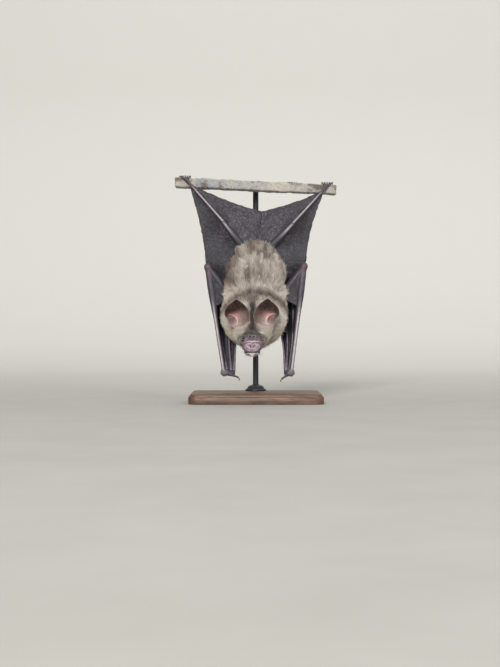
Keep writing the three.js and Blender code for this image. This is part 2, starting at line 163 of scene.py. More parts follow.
def noise(p, size, seed):
    """Smooth noise between -1 and 1 with lumps of about the given size in millimetres."""
    q = np.asarray(p, np.float64) / size + seed * 13.7
    i = np.floor(q).astype(np.int64)
    f = q - i
    f = f * f * f * (f * (f * 6 - 15) + 10)
    x, y, z = (i[..., k] for k in range(3))
    u, v, w = (f[..., k] for k in range(3))
    total = 0
    for a in (0, 1):
        for b in (0, 1):
            for c in (0, 1):
                weight = (u if a else 1 - u) * (v if b else 1 - v) * (w if c else 1 - w)
                total = total + weight * lattice(x + a, y + b, z + c)
    return total


# ---- clay: smooth solid forms on a grid ---------------------------------------------------


class Clay:
    """A block of space that holds, at each grid point, the distance to the form's skin."""

    def __init__(self, low, high, step):
        self.low = np.array(low, float)
        self.step = step
        count = np.ceil((np.array(high, float) - self.low) / step).astype(int) + 1
        self.field = np.full(count, 9.0, np.float32)

    def points(self, low, high):
        first = np.maximum(((np.array(low) - self.low) / self.step).astype(int), 0)
        last = np.minimum(
            ((np.array(high) - self.low) / self.step).astype(int) + 2, self.field.shape
        )
        if np.any(last <= first):
            return None, None
        axes = [self.low[k] + self.step * np.arange(first[k], last[k]) for k in range(3)]
        grid = np.stack(np.meshgrid(*axes, indexing="ij"), -1).astype(np.float32)
        return tuple(slice(a, b) for a, b in zip(first, last)), grid

    def press(self, form, blend, carve=False):
        """Adds a form, or takes it away, with a fillet of about the given size."""
        distance, low, high = form
        margin = blend + 2 * self.step + 0.5
        where, grid = self.points(np.array(low) - margin, np.array(high) + margin)
        if where is None:
            return
        sign = -1 if carve else 1
        new = sign * distance(grid)
        old = self.field[where]
        h = np.clip(0.5 + 0.5 * sign * (old - new) / blend, 0, 1)
        self.field[where] = old * (1 - h) + new * h - sign * blend * h * (1 - h)

    def roughen(self, size, depth, seed):
        near = np.abs(self.field) < max(3 * self.step, size / 2) + depth
        at = self.low + self.step * np.argwhere(near)
        self.field[near] += depth * noise(at, size, seed)

    def skin(self, relax=2):
        """The form's surface as points and four-sided faces."""
        f = self.field.copy()
        for axis in range(3):
            edge = [slice(None)] * 3
            for end in (0, -1):
                edge[axis] = end
                f[tuple(edge)] = np.maximum(f[tuple(edge)], 0.5)
        inside = f < 0
        nx, ny, nz = (n - 1 for n in f.shape)
        corners = [(i, j, k) for i in (0, 1) for j in (0, 1) for k in (0, 1)]
        count = sum(inside[i : nx + i, j : ny + j, k : nz + k].astype(np.int8) for i, j, k in corners)
        active = (count > 0) & (count < 8)
        cells = np.argwhere(active)
        number = np.full(active.shape, -1, np.int64)
        number[active] = np.arange(len(cells))
        value = {c: f[cells[:, 0] + c[0], cells[:, 1] + c[1], cells[:, 2] + c[2]] for c in corners}
        total = np.zeros((len(cells), 3))
        hits = np.zeros((len(cells), 1))
        for a in corners:
            for axis in range(3):
                if a[axis]:
                    continue
                b = tuple(1 if k == axis else a[k] for k in range(3))
                crossed = (value[a] < 0) != (value[b] < 0)
                t = np.where(crossed, value[a] / np.where(crossed, value[a] - value[b], 1), 0)
                point = np.tile(np.array(a, float), (len(cells), 1))
                point[:, axis] = t
                total += point * crossed[:, None]
                hits += crossed[:, None]
        points = self.low + self.step * (cells + total / hits)
        faces = []
        for axis in range(3):
            u, w = (axis + 1) % 3, (axis + 2) % 3
            ahead = np.roll(inside, -1, axis)
            change = inside != ahead
            keep = [slice(None)] * 3
            keep[axis] = slice(0, -1)
            keep[u] = slice(1, -1)
            keep[w] = slice(1, -1)
            mask = np.zeros_like(change)
            mask[tuple(keep)] = change[tuple(keep)]
            at = np.argwhere(mask)
            step_u = np.eye(3, dtype=int)[u]
            step_w = np.eye(3, dtype=int)[w]
            ring = [at - step_u - step_w, at - step_w, at, at - step_u]
            quad = np.stack([number[tuple(c.T)] for c in ring], 1)
            outward = inside[tuple(at.T)]
            faces.append(np.where(outward[:, None], quad, quad[:, ::-1]))
        faces = np.vstack(faces)
        for _ in range(relax):
            points = relaxed(points, faces, 0.5)
        return points, faces


def relaxed(points, faces, share):
    """The points moved towards the middle of their neighbours."""
    a = faces.ravel()
    b = np.roll(faces, -1, 1).ravel()
    degree = np.bincount(a, minlength=len(points)) + np.bincount(b, minlength=len(points))
    middle = np.empty_like(points)
    for k in range(3):
        middle[:, k] = np.bincount(a, points[b, k], len(points)) + np.bincount(
            b, points[a, k], len(points)
        )
    middle /= np.maximum(degree, 1)[:, None]
    return points * (1 - share) + middle * share


def ball(centre, across, back, up, belly=None, down=None):
    """A rounded mass with its own radius to the sides, the back, up, the belly and down."""
    centre = np.array(centre, np.float32)
    belly = back if belly is None else belly
    down = up if down is None else down

    def distance(p):
        q = p - centre
        r = np.empty_like(q)
        r[..., 0] = across
        r[..., 1] = np.where(q[..., 1] < 0, back, belly)
        r[..., 2] = np.where(q[..., 2] > 0, up, down)
        near = np.linalg.norm(q / r, axis=-1)
        return near * (near - 1) / np.maximum(np.linalg.norm(q / r**2, axis=-1), 1e-4)

    reach = np.array((across, max(back, belly), max(up, down)))
    return distance, centre - reach, centre + reach


def limb(points, wide, thick=None, across=(0, 1, 0), count=None):
    """A limb along a smooth path. Its width lies along "across", its thickness at right angles."""
    count = count or 4 * len(points)
    path = spline(points, count)
    w = profile(wide, count)
    h = profile(thick or wide, count)
    along = unit(np.gradient(path, axis=0))
    side = unit(np.cross(across, along))
    flat = np.cross(along, side)

    def distance(p):
        best = np.full(p.shape[:-1], 1e3, np.float32)
        for i in range(count - 1):
            a, ab = path[i], path[i + 1] - path[i]
            t = np.clip(((p - a) @ ab) / (ab @ ab), 0, 1)
            r = p - (a + ab * t[..., None])
            wi = w[i] + (w[i + 1] - w[i]) * t
            hi = h[i] + (h[i + 1] - h[i]) * t
            least = np.minimum(wi, hi)
            q = np.sqrt(
                ((r @ flat[i]) / wi) ** 2 + ((r @ side[i]) / hi) ** 2 + ((r @ along[i]) / least) ** 2
            )
            best = np.minimum(best, (q - 1) * least)
        return best

    reach = max(w.max(), h.max())
    return distance, path.min(0) - reach, path.max(0) + reach


def box_form(low, high):
    """A plain box between two corners."""
    low, high = np.array(low, float), np.array(high, float)

    def distance(p):
        return np.maximum(low - p, p - high).max(-1)

    return distance, low, high


# ---- meshes -------------------------------------------------------------------------------


def paint(mesh, tint):
    """Stores a colour at each of a mesh's points."""
    layer = mesh.attributes.new("tint", "FLOAT_COLOR", "POINT")
    rgba = np.ones((len(mesh.vertices), 4), np.float32)
    rgba[:, :3] = tint
    layer.data.foreach_set("color", rgba.ravel())


def placed(name, mesh, slot, nodes):
    """A mesh in the scene as a piece that rides on the body and stands for its solids."""
    thing = bpy.data.objects.new(name, mesh)
    bpy.context.scene.collection.objects.link(thing)
    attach(thing, "root")
    if nodes:
        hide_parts(*nodes)
    return thing


def piece(name, points, faces, finish, slot, nodes=(), tint=None):
    """A finished piece from points in millimetres, riding on the body."""
    mesh = bpy.data.meshes.new(name)
    faces = np.asarray(faces, np.int32)
    sides = faces.shape[1]
    mesh.vertices.add(len(points))
    mesh.vertices.foreach_set("co", (np.asarray(points) / 1000).astype(np.float32).ravel())
    mesh.loops.add(faces.size)
    mesh.loops.foreach_set("vertex_index", faces.ravel())
    mesh.polygons.add(len(faces))
    mesh.polygons.foreach_set("loop_start", np.arange(0, faces.size, sides, dtype=np.int32))
    mesh.polygons.foreach_set("loop_total", np.full(len(faces), sides, np.int32))
    mesh.update(calc_edges=True)
    mesh.polygons.foreach_set("use_smooth", np.full(len(faces), True))
    if tint is not None:
        paint(mesh, tint)
    mesh.materials.append(finish)
    return placed(name, mesh, slot, nodes)


def close_up(thing):
    """Merges doubled points and points every face outwards."""
    mesh = bmesh.new()
    mesh.from_mesh(thing.data)
    bmesh.ops.remove_doubles(mesh, verts=mesh.verts, dist=1e-6)
    bmesh.ops.recalc_face_normals(mesh, faces=mesh.faces)
    mesh.to_mesh(thing.data)
    mesh.free()


def grid_faces(rows, columns, around=False, start=0, flip=False):
    """Four-sided faces of a grid of points, row by row."""
    i = np.arange(rows - 1)[:, None]
    j = np.arange(columns if around else columns - 1)[None]
    k = (j + 1) % columns
    here, above = i * columns, (i + 1) * columns
    quad = np.stack(np.broadcast_arrays(here + j, above + j, above + k, here + k), -1)
    quad = quad.reshape(-1, 4) + start
    return quad[:, ::-1] if flip else quad


def normals_of(points, faces):
    """Outward directions at the points."""
    total = np.zeros_like(points)
    diagonal = np.cross(
        points[faces[:, 2]] - points[faces[:, 0]],
        points[faces[:, 3 % faces.shape[1]]] - points[faces[:, 1]],
    )
    for k in range(faces.shape[1]):
        for axis in range(3):
            total[:, axis] += np.bincount(faces[:, k], diagonal[:, axis], len(points))
    return unit(total)


def grid_normals(grid):
    return unit(np.cross(np.gradient(grid, axis=0), np.gradient(grid, axis=1)))


def slab(grid, thickness):
    """A closed thin sheet about a grid of points, with its two faces and its rim."""
    rows, columns = grid.shape[:2]
    half = grid_normals(grid) * thickness / 2
    front, rear = (grid + half).reshape(-1, 3), (grid - half).reshape(-1, 3)
    offset = len(front)
    faces = [grid_faces(rows, columns), grid_faces(rows, columns, start=offset, flip=True)]
    index = np.arange(offset).reshape(rows, columns)
    loop = np.concatenate([index[0, :-1], index[:-1, -1], index[-1, :0:-1], index[:0:-1, 0]])
    after = np.roll(loop, -1)
    faces.append(np.stack([loop, after, after + offset, loop + offset], 1))
    return np.vstack([front, rear]), np.vstack(faces)


# ---- finishes -----------------------------------------------------------------------------


def linear(*rgb):
    """Linear light from a colour as a painter would mix it, 0 to 255."""
    c = np.array(rgb, float) / 255
    return tuple(np.where(c <= 0.04045, c / 12.92, ((c + 0.055) / 1.055) ** 2.4))


class Finish:
    """A material of shader nodes."""

    def __init__(self, name, **values):
        self.material = bpy.data.materials.new(name)
        self.material.use_nodes = True
        self.tree = self.material.node_tree
        self.tree.nodes.clear()
        self.shader = self.node("ShaderNodeBsdfPrincipled", **values)
        self.node("ShaderNodeOutputMaterial", Surface=self.shader.outputs[0])

    def node(self, kind, settings=None, **inputs):
        """A node with its settings, and its inputs set or linked."""
        node = self.tree.nodes.new(kind)
        for key, value in (settings or {}).items():
            setattr(node, key, value)
        for key, value in inputs.items():
            self.put(node.inputs[key.replace("_", " ")], value)
        return node

    def put(self, socket, value):
        if isinstance(value, bpy.types.NodeSocket):
            self.tree.links.new(value, socket)
        else:
            socket.default_value = value

    def place(self, stretch=(1, 1, 1)):
        """Places on the piece, in millimetres over the stretch."""
        where = self.node("ShaderNodeTexCoord").outputs["Object"]
        scale = tuple(1000 / s for s in stretch)
        return self.node("ShaderNodeMapping", Vector=where, Scale=scale).outputs[0]

    def noise(self, place, size, detail=4.0, roughness=0.55, warp=0.0):
        return self.node(
            "ShaderNodeTexNoise", Vector=place, Scale=1 / size, Detail=detail, Roughness=roughness,
            Distortion=warp,
        ).outputs["Fac"]

    def cells(self, place, size, feature="F1"):
        return self.node(
            "ShaderNodeTexVoronoi", {"feature": feature}, Vector=place, Scale=1 / size
        ).outputs["Distance"]

    def spread(self, fac, low, high, to_low=0.0, to_high=1.0):
        return self.node(
            "ShaderNodeMapRange", Value=fac, From_Min=low, From_Max=high, To_Min=to_low, To_Max=to_high,
        ).outputs[0]

    def blend(self, fac, a, b, kind="MIX"):
        node = self.node("ShaderNodeMix", {"data_type": "RGBA", "blend_type": kind})
        self.put(node.inputs[0], fac)
        for socket, value in ((node.inputs[6], a), (node.inputs[7], b)):
            value = (*value, 1) if isinstance(value, tuple) else value
            self.put(socket, value)
        return node.outputs[2]

    def sum(self, a, b):
        node = self.node("ShaderNodeMath", {"operation": "ADD"})
        self.put(node.inputs[0], a)
        self.put(node.inputs[1], b)
        return node.outputs[0]

    def tint(self):
        return self.node("ShaderNodeAttribute", {"attribute_name": "tint"}).outputs["Color"]

    def colour(self, value):
        self.put(self.shader.inputs["Base Color"], value)

    def roughness(self, value):
        self.put(self.shader.inputs["Roughness"], value)

    def bump(self, height, depth, strength=1.0):
        """Relief of about the given depth in millimetres."""
        node = self.node("ShaderNodeBump", Height=height, Distance=depth / 1000, Strength=strength)
        self.put(self.shader.inputs["Normal"], node.outputs[0])


FINISHES = {}


def finish_of(make):
    """The material from the given maker, made when it is first asked for."""
    if make not in FINISHES:
        FINISHES[make] = make().material
    return FINISHES[make]


def make_hair():
    f = Finish("hair", Roughness=0.62, Sheen_Weight=0.15, Sheen_Roughness=0.5, Specular_IOR_Level=0.35)
    streak = f.noise(f.place((0.5, 0.5, 2.2)), 1.0, 3.0)
    f.colour(f.blend(f.spread(streak, 0.3, 0.75), f.blend(0.35, f.tint(), (0.05, 0.04, 0.03)), f.tint()))
    return f


def make_bristle():
    f = Finish("bristle", Roughness=0.45)
    f.colour(f.blend(f.noise(f.place(), 1.5), linear(70, 58, 50), linear(150, 138, 124)))
    return f


def make_flesh():
    f = Finish("flesh", Roughness=0.8)
    grain = f.noise(f.place(), 0.8, 5.0)
    f.colour(f.blend(f.spread(grain, 0.35, 0.7), f.blend(0.4, f.tint(), (0.03, 0.02, 0.02)), f.tint()))
    f.bump(grain, 0.4)
    return f


def make_membrane():
    f = Finish("membrane", Roughness=0.5)
    at = f.place()
    web = f.cells(f.place((1, 1, 0.8)), 0.9, "DISTANCE_TO_EDGE")
    fine = f.noise(at, 0.45, 5.0, 0.65)
    broad = f.noise(at, 9.0, 3.0)
    fleck = f.noise(at, 1.5, 4.0, 0.7)
    tone = f.blend(f.spread(broad, 0.35, 0.65), linear(27, 25, 31), linear(41, 38, 45))
    tone = f.blend(f.spread(fleck, 0.5, 0.64, 0.0, 0.75), tone, linear(86, 82, 94))
    tone = f.blend(f.spread(fleck, 0.46, 0.36, 0.0, 0.6), tone, linear(14, 12, 15))
    tone = f.blend(f.spread(fine, 0.54, 0.78, 0.0, 0.8), tone, linear(104, 98, 110))
    # painted shade: dark lines along the cell edges, in the membrane's creases
    tone = f.blend(f.spread(web, 0.0, 0.13, 0.4, 0.0), tone, linear(20, 18, 21))
    f.colour(f.blend(1.0, tone, f.tint(), "MULTIPLY"))
    f.roughness(f.spread(fine, 0.3, 0.8, 0.62, 0.42))
    f.bump(f.sum(f.sum(f.spread(web, 0.0, 0.25, 0.0, 0.6), fine), fleck), 0.2, 0.9)
    return f


def make_limb():
    f = Finish("limb", Roughness=0.5)
    at = f.place()
    fine = f.noise(at, 0.5, 5.0, 0.6)
    crease = f.noise(f.place((1.5, 1.5, 0.35)), 1.0, 3.0)
    dark = f.blend(0.5, f.tint(), (0.02, 0.015, 0.02))
    f.colour(f.blend(f.spread(fine, 0.3, 0.65), dark, f.tint()))
    f.roughness(f.spread(fine, 0.3, 0.8, 0.58, 0.4))
    f.bump(f.sum(fine, crease), 0.16, 0.8)
    return f


def make_bone():
    f = Finish("bone", Roughness=0.42)
    fine = f.noise(f.place((1, 1, 3)), 0.8, 4.0, 0.6)
    f.colour(f.blend(f.spread(fine, 0.3, 0.7), linear(62, 56, 63), linear(122, 112, 120)))
    f.bump(fine, 0.12, 0.7)
    return f


def make_face():
    under = {"Subsurface_Weight": 0.12, "Subsurface_Radius": (0.9, 0.35, 0.25), "Subsurface_Scale": 0.001}
    f = Finish("face", Roughness=0.5, **under)
    at = f.place()
    pores = f.cells(at, 0.55)
    fine = f.noise(at, 0.35, 4.0, 0.6)
    dark = f.blend(0.45, f.tint(), (0.05, 0.03, 0.03))
    f.colour(f.blend(f.spread(fine, 0.32, 0.62), dark, f.tint()))
    f.roughness(f.spread(fine, 0.3, 0.8, 0.62, 0.44))
    f.bump(f.sum(pores, fine), 0.08, 0.7)
    return f


def make_eye():
    f = Finish("eye", Roughness=0.06, Coat_Weight=1.0, Coat_Roughness=0.03)
    f.colour(f.blend(f.noise(f.place(), 0.8), linear(12, 8, 6), linear(30, 19, 12)))
    return f


def make_claw():
    f = Finish("claw", Roughness=0.3)
    grain = f.noise(f.place((0.3, 1.5, 1.5)), 0.5, 3.0)
    f.colour(f.blend(f.spread(grain, 0.3, 0.7), linear(74, 60, 50), linear(150, 134, 116)))
    f.bump(grain, 0.04)
    return f


def make_wood():
    f = Finish("wood", Roughness=0.5, Coat_Weight=0.06, Coat_Roughness=0.4)
    rings = f.noise(f.place((34, 3.2, 5)), 1.0, 5.0, 0.6, 0.8)
    pores = f.noise(f.place((9, 0.35, 0.6)), 1.0, 2.0)
    tone = f.blend(f.spread(rings, 0.3, 0.7), linear(58, 38, 26), linear(104, 72, 48))
    f.colour(f.blend(f.spread(pores, 0.58, 0.72), tone, linear(34, 22, 15)))
    f.roughness(f.spread(pores, 0.4, 0.75, 0.5, 0.66))
    f.bump(pores, 0.06, 0.6)
    return f


def make_metal():
    f = Finish("metal", Roughness=0.42, Metallic=0.6)
    peel = f.noise(f.place(), 0.7, 3.0)
    f.colour(f.blend(peel, linear(38, 38, 40), linear(56, 56, 59)))
    f.bump(peel, 0.03, 0.5)
    return f


def make_rock():
    f = Finish("rock", Roughness=0.85)
    at = f.place()
    broad = f.noise(at, 14.0, 6.0, 0.6, 0.6)
    fine = f.noise(at, 1.2, 8.0, 0.7)
    stain = f.noise(f.place((1.6, 1, 1)), 7.0, 5.0, 0.65)
    tone = f.blend(f.spread(broad, 0.35, 0.62), linear(126, 129, 138), linear(158, 153, 140))
    tone = f.blend(f.spread(stain, 0.55, 0.66), tone, linear(92, 82, 68))
    f.colour(f.blend(f.spread(fine, 0.5, 0.36, 0.0, 0.7), tone, linear(92, 84, 74)))
    f.roughness(f.spread(fine, 0.3, 0.7, 0.95, 0.75))
    f.bump(f.sum(fine, f.cells(at, 2.0)), 0.5, 0.9)
    return f


def make_floor():
    """A sweep of pale card, paler where it rises behind the object, with a painted gradient that evens
    out the lamps' light.
    """
    f = Finish("floor", Roughness=0.75)
    away = f.node("ShaderNodeSeparateXYZ", Vector=f.place((1000, 1000, 1000))).outputs["Y"]
    # painted light: darker in front, where the lamps are near, and paler behind, where their light falls
    # off
    tone = f.blend(f.spread(away, 0.0, 0.9), linear(150, 148, 141), linear(190, 188, 181))
    patch = f.spread(f.noise(f.place(), 60.0, 3.0), 0.3, 0.7, 0.0, 0.1)
    f.colour(f.blend(patch, tone, linear(196, 194, 188)))
    return f


# ---- sweeps with Geometry Nodes -----------------------------------------------------------


def sweep_tree():
    """A node tree that turns chains of points with a "girth" into closed round bars."""
    name = "bars along paths"
    if name in bpy.data.node_groups:
        return bpy.data.node_groups[name]
    tree = bpy.data.node_groups.new(name, "GeometryNodeTree")
    for label, way, kind in (
        ("Paths", "INPUT", "Geometry"), ("Sides", "INPUT", "Int"), ("Finish", "INPUT", "Material"),
        ("Bars", "OUTPUT", "Geometry"),
    ):
        tree.interface.new_socket(label, in_out=way, socket_type="NodeSocket" + kind)
    kinds = {
        "given": "NodeGroupInput", "chain": "GeometryNodeMeshToCurve",
        "girth": "GeometryNodeInputNamedAttribute", "section": "GeometryNodeCurvePrimitiveCircle",
        "swept": "GeometryNodeCurveToMesh", "shaded": "GeometryNodeSetShadeSmooth",
        "painted": "GeometryNodeSetMaterial", "made": "NodeGroupOutput",
    }
    nodes = {label: tree.nodes.new(kind) for label, kind in kinds.items()}
    nodes["girth"].data_type = "FLOAT"
    nodes["girth"].inputs["Name"].default_value = "girth"
    nodes["section"].inputs["Radius"].default_value = 1
    nodes["swept"].inputs["Fill Caps"].default_value = True
    for start, output, end, entry in (
        ("given", "Paths", "chain", "Mesh"), ("chain", "Curve", "swept", "Curve"),
        ("girth", "Attribute", "swept", "Scale"), ("given", "Sides", "section", "Resolution"),
        ("section", "Curve", "swept", "Profile Curve"), ("swept", "Mesh", "shaded", "Geometry"),
        ("shaded", "Geometry", "painted", "Geometry"), ("given", "Finish", "painted", "Material"),
        ("painted", "Geometry", "made", "Bars"),
    ):
        tree.links.new(nodes[start].outputs[output], nodes[end].inputs[entry])
    return tree


def bars(name, paths, finish, slot, nodes, sides):
    """A piece of round bars along paths of (points, radii), both in millimetres."""
    points = np.vstack([p for p, _ in paths]) / 1000
    radii = np.concatenate([r for _, r in paths]) / 1000
    edges, start = [], 0
    for p, _ in paths:
        edges += [(start + i, start + i + 1) for i in range(len(p) - 1)]
        start += len(p)
    source = bpy.data.meshes.new(name + "_paths")
    source.from_pydata(points.tolist(), edges, [])
    source.attributes.new("girth", "FLOAT", "POINT").data.foreach_set("value", radii.astype(np.float32))
    maker = bpy.data.objects.new(name + "_maker", source)
    bpy.context.scene.collection.objects.link(maker)
    modifier = maker.modifiers.new("maker", "NODES")
    modifier.node_group = sweep_tree()
    values = {"Sides": sides, "Finish": finish}
    for item in modifier.node_group.interface.items_tree:
        if item.name in values:
            modifier[item.identifier] = values[item.name]
    graph = bpy.context.evaluated_depsgraph_get()
    graph.update()
    mesh = bpy.data.meshes.new_from_object(maker.evaluated_get(graph))
    mesh.name = name
    maker.modifiers.remove(modifier)
    bpy.data.objects.remove(maker)
    return placed(name, mesh, slot, nodes)


def rounded(points, wide, count):
    """A path and its radii, with ends that close in round."""
    path = spline(points, count)
    radii = profile(wide, count)
    along = unit(np.gradient(path, axis=0))
    turn = np.radians((80, 55, 30, 12))
    head = path[0] - along[0] * (radii[0] * np.sin(turn))[:, None]
    tail = path[-1] + along[-1] * (radii[-1] * np.sin(turn[::-1]))[:, None]
    return np.vstack([head, path, tail]), np.concatenate(
        [radii[0] * np.cos(turn), radii, radii[-1] * np.cos(turn[::-1])]
    )


# ---- settings -----------------------------------------------------------------------------


def length_setting(name, description, default, low, high):
    return bpy.props.FloatProperty(
        name=name, description=description, default=default, min=low, max=high, unit="LENGTH",
        precision=5,
    )


def colour_setting(name, description, *rgb):
    return bpy.props.FloatVectorProperty(
        name=name, description=description, default=linear(*rgb), size=3, subtype="COLOR", min=0, max=1,
    )


class BatSettings(bpy.types.PropertyGroup):
    """Sizes and colours of the bat."""

    membrane_thickness: length_setting(
        "Membrane thickness", "Thickness of the wing and tail skin", 0.0006, 0.0003, 0.002
    )
    back_hair: length_setting("Back hair", "Length of the hair on the back", 0.0085, 0.002, 0.02)
    ruff_hair: length_setting("Ruff hair", "Length of the hair round the head", 0.005, 0.001, 0.01)
    coat_seed: bpy.props.IntProperty(
        name="Coat seed", description="Changes how the hairs fall", default=7, min=0,
    )
    pale_hair: colour_setting("Pale hair", "Colour of the hair on the back and the ruff", 218, 206, 194)
    brown_hair: colour_setting("Brown hair", "Colour of the bands and streaks of the coat", 107, 89, 75)
    # the colour of the painted highlight along the forearm and leg bones
    bone_highlight: colour_setting("Skin over bone", "Colour of the skin over the long bones", 180, 169, 172)
    nose_skin: colour_setting("Noseleaf", "Colour of the noseleaf and lips", 148, 129, 137)


def settings():
    return bpy.context.scene.bat_settings


# ---- markings -----------------------------------------------------------------------------


def washed(colour, tone, share):
    """The colours, each with a share of another laid over it."""
    return colour + (np.array(tone) - colour) * np.clip(share, 0, 1)[..., None]


def share_along(p, start, end):
    """How far places are along a straight line, from 0 at its start to 1 at its end."""
    line = np.array(end, float) - start
    return (p - start) @ line / (line @ line)


def coat_colour(p):
    """The coat's colour at places on the body, with painted light and shade in it, the same for the skin
    and the hair.
    """
    x, y, z = p[:, 0], p[:, 1], p[:, 2]
    off_nose = np.abs(x - NOSE[0])
    right = smooth(0, 12, x)
    streak = noise(p * (1, 1, 0.2), 3.2, 1) * 0.55 + noise(p * (1, 1, 0.3), 1.5, 2) * 0.45
    on_back = smooth(88, 99, z)
    ring = np.hypot(x + 0.6, z - 58)
    # painted shade: this darkens the left flank only, and the right factor below eases the brown on the
    # right side, for light that falls unevenly on the two sides
    flank = smooth(-12, -19, x) * smooth(88, 94, z) * smooth(120, 110, z)
    shoulder = smooth(86, 92, z) * smooth(10, 18, np.abs(x + 1)) * smooth(110, 100, z)
    band = np.exp(-(((ring - 28.5 - 1.2 * streak) / 3.4) ** 2)) * smooth(66, 75, z) * smooth(14, 4, y)
    crown = smooth(8, 3, off_nose) * smooth(74, 82, z) * smooth(93, 86, z) * (y < 0)
    share = np.max([
        np.clip(0.3 + 1.3 * streak, 0, 1) * on_back,
        (0.68 + 0.6 * streak) * smooth(112, 130, z),
        (0.72 + 0.6 * streak) * smooth(13, 24, np.abs(x)) * on_back * (1 - 0.7 * right),
        (1.0 + 0.4 * streak) * flank,
        (0.72 + 0.5 * streak) * shoulder * (1 - 0.5 * right),
        (0.95 + 0.4 * streak) * band,
        0.7 * crown,
        0.2 * streak * (1 - on_back),
    ], axis=0)
    # painted light: the ruff round the face is made paler towards its middle, standing in for the strong
    # frontal light that whitens it
    painted_glow = smooth(96, 84, z) * smooth(16, 22, ring) * (1 - 0.5 * smooth(82, 90, z))
    colour = np.array(settings().pale_hair) * (1 + 0.4 * painted_glow)[:, None]
    colour = washed(colour, settings().brown_hair, share)
    cheek = smooth(66, 58, z) * smooth(5, 11, off_nose) * (0.55 + 0.45 * streak)
    colour = washed(colour, linear(214, 204, 168), 0.6 * np.clip(cheek, 0, 1))
    # painted shade: the furrow between the ears and the wedge just above the rear leaf are washed to dark
    # brown for the shade that lies in them; round each eye the coat is darkened too
    furrow_half = 1.7 + 2.2 * smooth(72, 86, z) + 0.7 * streak
    furrow = smooth(1.4, -0.9, off_nose - furrow_half) * smooth(53, 56, z) * smooth(90, 76, z)
    rise = (z - 54.5) / 5.5
    wedge = smooth(1.15, 0.8, off_nose / (8.6 - 5.6 * np.clip(rise, 0, 1)))
    wedge *= smooth(1.15, 0.8, np.abs(rise - 0.4))
    deep = np.maximum(furrow, 0.92 * wedge) * smooth(-14, -20, y)
    for side in JOINTS:
        deep = np.maximum(deep, 0.7 * smooth(5.5, 2.6, np.linalg.norm(p - eye_centre(side), axis=1)))
    colour = washed(colour, linear(50, 34, 25), deep)
    return washed(colour, linear(150, 138, 124), 0.45 * smooth(2, 12, y))


# ---- body ---------------------------------------------------------------------------------

# steps of the clay's grids, in millimetres
BODY_CELL, HEAD_CELL, MUZZLE_CELL, ARM_CELL, LEG_CELL = 0.9, 0.33, 0.17, 0.42, 0.34
BODY_PATH = [(-0.4, 2, 127), (-0.2, 1.5, 120), (0, 0, 104), (-0.8, 0, 88), (-1.4, 1, 76)]
SKULL_PATH = [(-1.8, 1, 73), (-2, -8, 69), (-2.4, -15.5, 62), (-2.9, -21.5, 54.5), (-3.1, -25.5, 48.8)]


def press_body(clay):
    """The trunk, the ruff and the skull, the same in every skin that shows them."""
    clay.press(limb(BODY_PATH, [6, 16.5, 22.4, 24.5, 23], [4.5, 10, 14.5, 15.5, 13], (1, 0, 0), 14), 2)
    clay.press(ball(RUFF, 25.4, 18.4, 25.4, belly=12), 4)
    clay.press(limb(SKULL_PATH, [13, 16.4, 14.6, 10, 7.4], [11, 13.8, 13, 8.6, 6.2], (1, 0, 0), 11), 3)


def body_clay():
    clay = Clay((-32, -24, 40), (32, 24, 142), BODY_CELL)
    press_body(clay)
    for joint in JOINTS.values():
        clay.press(limb([joint["hip"], between(joint["hip"], joint["knee"], 0.12)], [3.6, 2.8]), 3)
        shoulder, elbow = joint["shoulder"], joint["elbow"]
        clay.press(limb([shoulder, between(shoulder, elbow, 0.14)], [5, 4]), 3)
    clay.roughen(6, 0.5, 3)
    for joint in JOINTS.values():
        clay.press(ear_hollow(joint), 0.5, True)
    return clay


class BAT_OT_body(bpy.types.Operator):
    """Build the skin of the neck and trunk, under the coat"""

    bl_idname = "bat.body"
    bl_label = "Neck and trunk"

    def execute(self, context):
        points, faces = body_clay().skin()
        tint = coat_colour(points) * 0.7
        piece("skin_body", points, faces, finish_of(make_flesh), "fur", ("neck", "trunk"), tint)
        return {"FINISHED"}


def nose_place(a, b, c):
    """A place on the face: a to the right, b up and c in from the front of the nose."""
    return (NOSE[0] + a, NOSE[1] + c, NOSE[2] + b)


def face_path(*places):
    return [nose_place(*place) for place in places]


def arc(radius_a, radius_b, start, end, depth, centre, count=9):
    angles = np.radians(np.linspace(start, end, count))
    return [
        nose_place(centre[0] + radius_a * math.cos(t), centre[1] + radius_b * math.sin(t), depth(t))
        for t in angles
    ]


def eye_centre(side):
    return solid_middle(f"eye_{side}")


HEAD_BLOCK = ((-25, -37, 37), (19, -3, 88))
MUZZLE_BLOCK = ((-15.4, -34.8, 37), (9.2, -22.6, 58.6))


def in_block(p, block, margin):
    low, high = np.array(block[0]) + margin, np.array(block[1]) - margin
    return np.all((p > low) & (p < high), axis=1)


def press_head(clay):
    """The skull with its brow, cheeks, muzzle and chin, the same in both skins of the head."""
    press_body(clay)
    clay.roughen(6, 0.5, 3)
    for a in (-1, 1):
        clay.press(ball(nose_place(a * 8.4, 9, 12.5), 5.4, 5.4, 6.2), 4)
        clay.press(ball(nose_place(a * 6.6, 4.6, 8.5), 4.2, 4.4, 4.0), 2.5)
    clay.press(ball(nose_place(0, 13.5, 9.5), 6.2, 4.5, 5.2), 4)
    furrow = face_path((0, 12, 3.2), (0, 22, 6.5), (0, 34, 11))
    clay.press(limb(furrow, [1.3, 1.4, 1.2]), 3, True)
    clay.press(ball(nose_place(0, 1.2, 7.6), 7.9, 6.6, 5.6), 2.2)
    clay.press(ball(nose_place(0, -4.4, 8.2), 6.3, 6.4, 3.1, down=3.4), 1.6)


def head_clay():
    """The head behind the muzzle, with room for the ears' cups."""
    clay = Clay(*HEAD_BLOCK, HEAD_CELL)
    press_head(clay)
    low, high = np.array(MUZZLE_BLOCK, float)
    clay.press(box_form(low + (1, -4, -4), high - 1), 0.3, True)
    for joint in JOINTS.values():
        clay.press(ear_hollow(joint), 0.3, True)
    return clay


